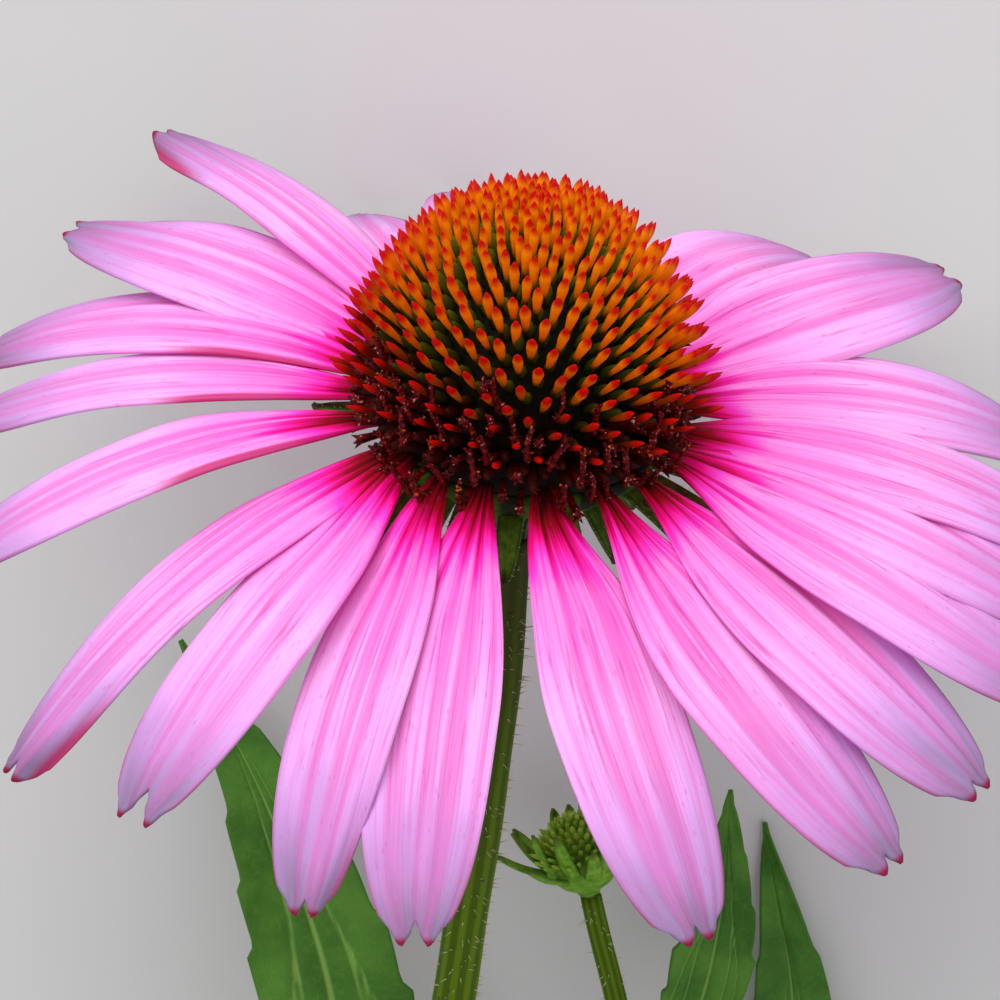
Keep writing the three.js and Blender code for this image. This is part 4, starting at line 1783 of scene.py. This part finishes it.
@dataclass
class Bud:
    """The closed green bud on the side shoot, opening along its own Z."""

    bar: Bar
    cup_outline: Outline = (
        (0.0, 0.0), (1.1, 0.0), (1.3, 0.4), (2.6, 1.2), (3.5, 2.2), (3.9, 3.0), (3.8, 3.8),
    )
    cup_height: float = 3.6
    dome_height: float = 4.2
    lid_radius: float = 3.6
    lid_share: float = 0.92
    core_radius: float = 3.5
    core_share: float = 0.9
    rings: int = 8
    scales: int = 150
    scale_length: float = 2.3
    scale_outline: Outline = ((0.26, 0.0), (0.3, 0.5), (0.26, 0.8), (0.0, 1.0))
    sunk: float = 0.4
    bract_count: int = 16
    bract_row: Row = Row(3.0, -2.4, 7.4, 2.1)
    bract_cupped: float = 0.25
    closing: float = 34.0
    wall: float = 0.3

    def matrix(self) -> Matrix:
        """Works out where the bud stands.

        Returns:
            The move from its own frame to the plant's.
        """
        outward = self.bar.route.forward(1.0)
        turn = UP.rotation_difference(outward).to_matrix().to_4x4()
        return Matrix.Translation(self.bar.route.point(1.0) + outward * CLEARANCE_MM) @ turn

    def cup(self, material: bpy.types.Material) -> None:
        """Makes the cup with the closed lid that the scales stand on.

        Args:
            material: its finish.
        """
        lid = Dome(self.lid_radius, self.dome_height * self.lid_share).outline(self.rings, self.cup_height)
        cup = Sculpt()
        cup.lathe([*self.cup_outline, *lid[1:]], 40)
        cup.mark(cup.mesh.verts, across=0.4, along=0.2)
        cup.piece("bud_cup", material, Slot.BRACT, ["bud"], self.matrix())

    def bracts(self, material: bpy.types.Material) -> None:
        """Makes the pointed bracts round the bud.

        Args:
            material: their finish.
        """
        chance = random.Random(SEED + 7)
        blades, row = Sculpt(), self.bract_row
        for number in range(self.bract_count):
            azimuth = 360 * number / self.bract_count + chance.uniform(-6, 6)
            rise = chance.uniform(14, 30) if number % 2 else chance.uniform(34, 58)
            root = heading(azimuth, 0) * row.radius - Vector((0, 0, row.drop))
            length = row.length * chance.uniform(0.8, 1.0)
            bend = chance.uniform(-8, 8)
            track = arching(root, azimuth, rise, rise + self.closing, length, bend, 0, 10)
            blades.grid(6, 12, Bract(track, row.width, chance.random(), self.bract_cupped).place)
        blades.piece("bud_bracts", material, Slot.BRACT, ["bud"], self.matrix(), self.wall)

    def dome(self) -> None:
        """Makes the small green scales of the bud."""
        chance = random.Random(SEED + 8)
        swarm = Swarm()
        swarm.pattern("scale", lambda: swarm.spun(self.scale_outline, 6, flat=0.8, bow=0.1))
        core = Dome(self.core_radius, self.dome_height * self.core_share)
        for number in range(self.scales):
            share = lerp(0.05, 1.0, 1 - (number + 0.5) / self.scales)
            point, outward = core.at(number * GOLDEN_TURN, share)
            along = (outward + Vector((0, 0, 0.4))).normalized()
            length = self.scale_length * lerp(1.0, 0.6, share) * chance.uniform(0.85, 1.1)
            root = point + Vector((0, 0, self.cup_height)) - along * self.sunk
            size = Matrix.Diagonal((1, 1, length + self.sunk, 1))
            swarm.stamp("scale", stood(root, along) @ size, height=share, tint=chance.random())
        finish = PlainFinish("bud_scale", paint(112, 152, 30), paint(164, 196, 66), 500.0, 0.5)
        swarm.piece("bud_scales", finish.material(), Slot.BRACT, ["bud"], self.matrix())

    def build(self, material: bpy.types.Material) -> None:
        """Makes the cup, the bracts and the scaly dome.

        Args:
            material: the cup's and the bracts' finish.
        """
        self.cup(material)
        self.bracts(material)
        self.dome()


# ---------- studio ----------


@dataclass(frozen=True)
class Softbox:
    """A square soft light: its name, direction from the bloom, distance, size and power."""

    name: str
    direction: tuple[float, float, float]
    distance: float
    size: float
    power: float


@dataclass
class Studio:
    """The floor, the lights and the camera."""

    head: Head
    elevation: float = 30.0
    camera_distance: float = 0.43
    view_width: float = 0.08883
    sensor: float = 36.0
    aim_left: float = 2.04
    aim_down: float = 8.88
    floor_size: float = 6.0
    sky: Colour = (0.93, 0.95, 1.0, 1.0)
    sky_strength: float = 0.6
    lights: tuple[Softbox, ...] = (
        Softbox("key", (0.25, -0.85, 0.5), 0.9, 1.1, 9.2),
        Softbox("fill", (-0.6, 0.35, 0.8), 1.1, 0.9, 1.2),
    )

    def centre(self) -> Vector:
        """Returns the middle of the bloom in the frame."""
        return TO_FRAME @ (self.head.matrix() @ Vector((0, 0, 0)))

    def floor(self) -> None:
        """Makes the floor."""
        shape = bmesh.new()
        bmesh.ops.create_grid(shape, x_segments=8, y_segments=8, size=self.floor_size / 2)
        data = bpy.data.meshes.new("floor")
        shape.to_mesh(data)
        shape.free()
        data.materials.append(FloorFinish().material())
        ground = bpy.data.objects.new("floor", data)
        bpy.context.scene.collection.objects.link(ground)

    def light(self) -> None:
        """Makes the soft lights and the pale surroundings."""
        for box in self.lights:
            lamp = bpy.data.lights.new(box.name, "AREA")
            lamp.energy, lamp.size = box.power, box.size
            stand = bpy.data.objects.new(box.name, lamp)
            way = Vector(box.direction).normalized()
            stand.location = self.centre() + way * box.distance
            stand.rotation_euler = way.to_track_quat("Z", "Y").to_euler()
            bpy.context.scene.collection.objects.link(stand)
        world = bpy.data.worlds.new("surroundings")
        world.use_nodes = True
        ground = world.node_tree.nodes["Background"]
        ground.inputs["Color"].default_value = self.sky
        ground.inputs["Strength"].default_value = self.sky_strength
        bpy.context.scene.world = world

    def camera(self) -> None:
        """Makes the camera, which looks at the bloom from above the ring of its rays."""
        lift = math.radians(self.elevation - self.head.tilt)
        back = Vector((0, -math.sin(lift), math.cos(lift)))
        upright = Vector((0, -math.cos(lift), -math.sin(lift)))
        right = upright.cross(back)
        aim = self.centre() - right * self.aim_left * METRES_PER_MM
        aim -= upright * self.aim_down * METRES_PER_MM
        data = bpy.data.cameras.new("camera")
        data.sensor_width = self.sensor
        data.lens = self.sensor * self.camera_distance / self.view_width
        camera = bpy.data.objects.new("camera", data)
        turn = Matrix((right, upright, back)).transposed().to_4x4()
        camera.matrix_world = Matrix.Translation(aim + back * self.camera_distance) @ turn
        bpy.context.scene.collection.objects.link(camera)
        bpy.context.scene.camera = camera

    def build(self) -> None:
        """Makes the whole studio."""
        self.floor()
        self.light()
        self.camera()
        bpy.context.scene.view_settings.view_transform = "Standard"


# ---------- the plant ----------

STEM_ROUTE = ((6.6, 64, 36), (12.5, 105, 25), (19.5, 148, 13.4), (26, 186, 5), (29.5, 214, 2.75))
SHOOT_ROUTE = ((4, 128, 13.4), (-7, 106, 12), (-10.5, 80, 10.6), (-7, 62, 11))
LEAVES = (
    Leaf("leaf_1", 16, 8, 0.52, 1, -10, ((19, 98, 19), (18.5, 74, 15), (25, 54, 9.5), (34, 37, 5))),
    Leaf(
        "leaf_2", 19, -4, 0.68, -1, -35, ((-3, 132, 5.8), (-20, 108, 4.4), (-28, 82, 3.6), (-25, 58, 0.5)),
    ),
    Leaf("leaf_3", 21, 0, 0.85, 1, 10, ((39, 168, 7), (51, 145, 6.4), (59, 124, 3.4), (64, 104, 0.45))),
)
SHOOT_LEAF = Leaf(
    "shoot_leaf", 8, 0, 0.78, 1, 0, ((-17, 76, 12.6), (-20, 64, 12.4), (-21, 51, 10.4)), teeth=5,
)


@dataclass
class Plant:
    """The whole flowering stem."""

    head: Head = field(default_factory=Head)
    neck_drop: float = 13.4
    neck_length: float = 18.0
    neck_radius: float = 1.9
    cut_radius: float = 2.7
    shoot_share: float = 0.675
    shoot_angle: float = 35.0
    shoot_radius: float = 1.45
    bud_radius: float = 1.1

    def stem_bar(self) -> Bar:
        """Places the main stem, which starts under the bracts.

        Returns:
            Its bar.
        """
        place = self.head.matrix()
        start = place @ Vector((0, 0, -self.neck_drop - CLEARANCE_MM))
        after = place @ Vector((0, 0, -self.neck_drop - self.neck_length))
        return Bar(Route([start, after, *STEM_ROUTE]), self.neck_radius, self.cut_radius)

    def shoot_bar(self, stem: Bar) -> Bar:
        """Returns the side shoot's bar, which starts beside the stem."""
        start = stem.beside(self.shoot_share, -1, self.shoot_angle, self.shoot_radius)
        return Bar(Route([start, *SHOOT_ROUTE]), self.shoot_radius, self.bud_radius)

    def bloom(self) -> None:
        """Makes the ray florets, the cone and the involucre."""
        RayFlorets(self.head, PetalFinish().material()).build()
        Cone(self.head).build()
        Involucre(self.head, RAYS).build()

    def greenery(self) -> None:
        """Makes the stems, the leaves and the bud."""
        stem = self.stem_bar()
        shoot = self.shoot_bar(stem)
        green = StemFinish().material()
        hair = PlainFinish("bristle", paint(176, 184, 128), paint(214, 214, 176), 500.0, 0.55).material()
        leaf = LeafFinish().material()
        joints = tuple(each.share for each in LEAVES)
        Stem("main_stem", "stem", stem, joints, 150, 1500).build(green, hair)
        joints = (SHOOT_LEAF.share,)
        slim = Stem("shoot_stem", "side_shoot", shoot, joints, 60, 320, sides=40, rib_depth=0.09)
        slim.build(green, hair)
        for each in LEAVES:
            each.build(stem, leaf)
        SHOOT_LEAF.build(shoot, leaf)
        fresh, pale = paint(92, 142, 28), paint(132, 176, 52)
        young = BractFinish("young_bract", fresh, pale, paint(60, 104, 20), paint(84, 96, 30))
        Bud(shoot).build(young.material())

    def build(self) -> None:
        """Makes every piece of the plant."""
        self.bloom()
        self.greenery()


def main() -> None:
    """Builds the studio and the plant."""
    logging.basicConfig(level=logging.INFO, format="%(name)s: %(message)s")
    Studio(Head()).build()
    Plant().build()


if __name__ == "__main__":
    main()
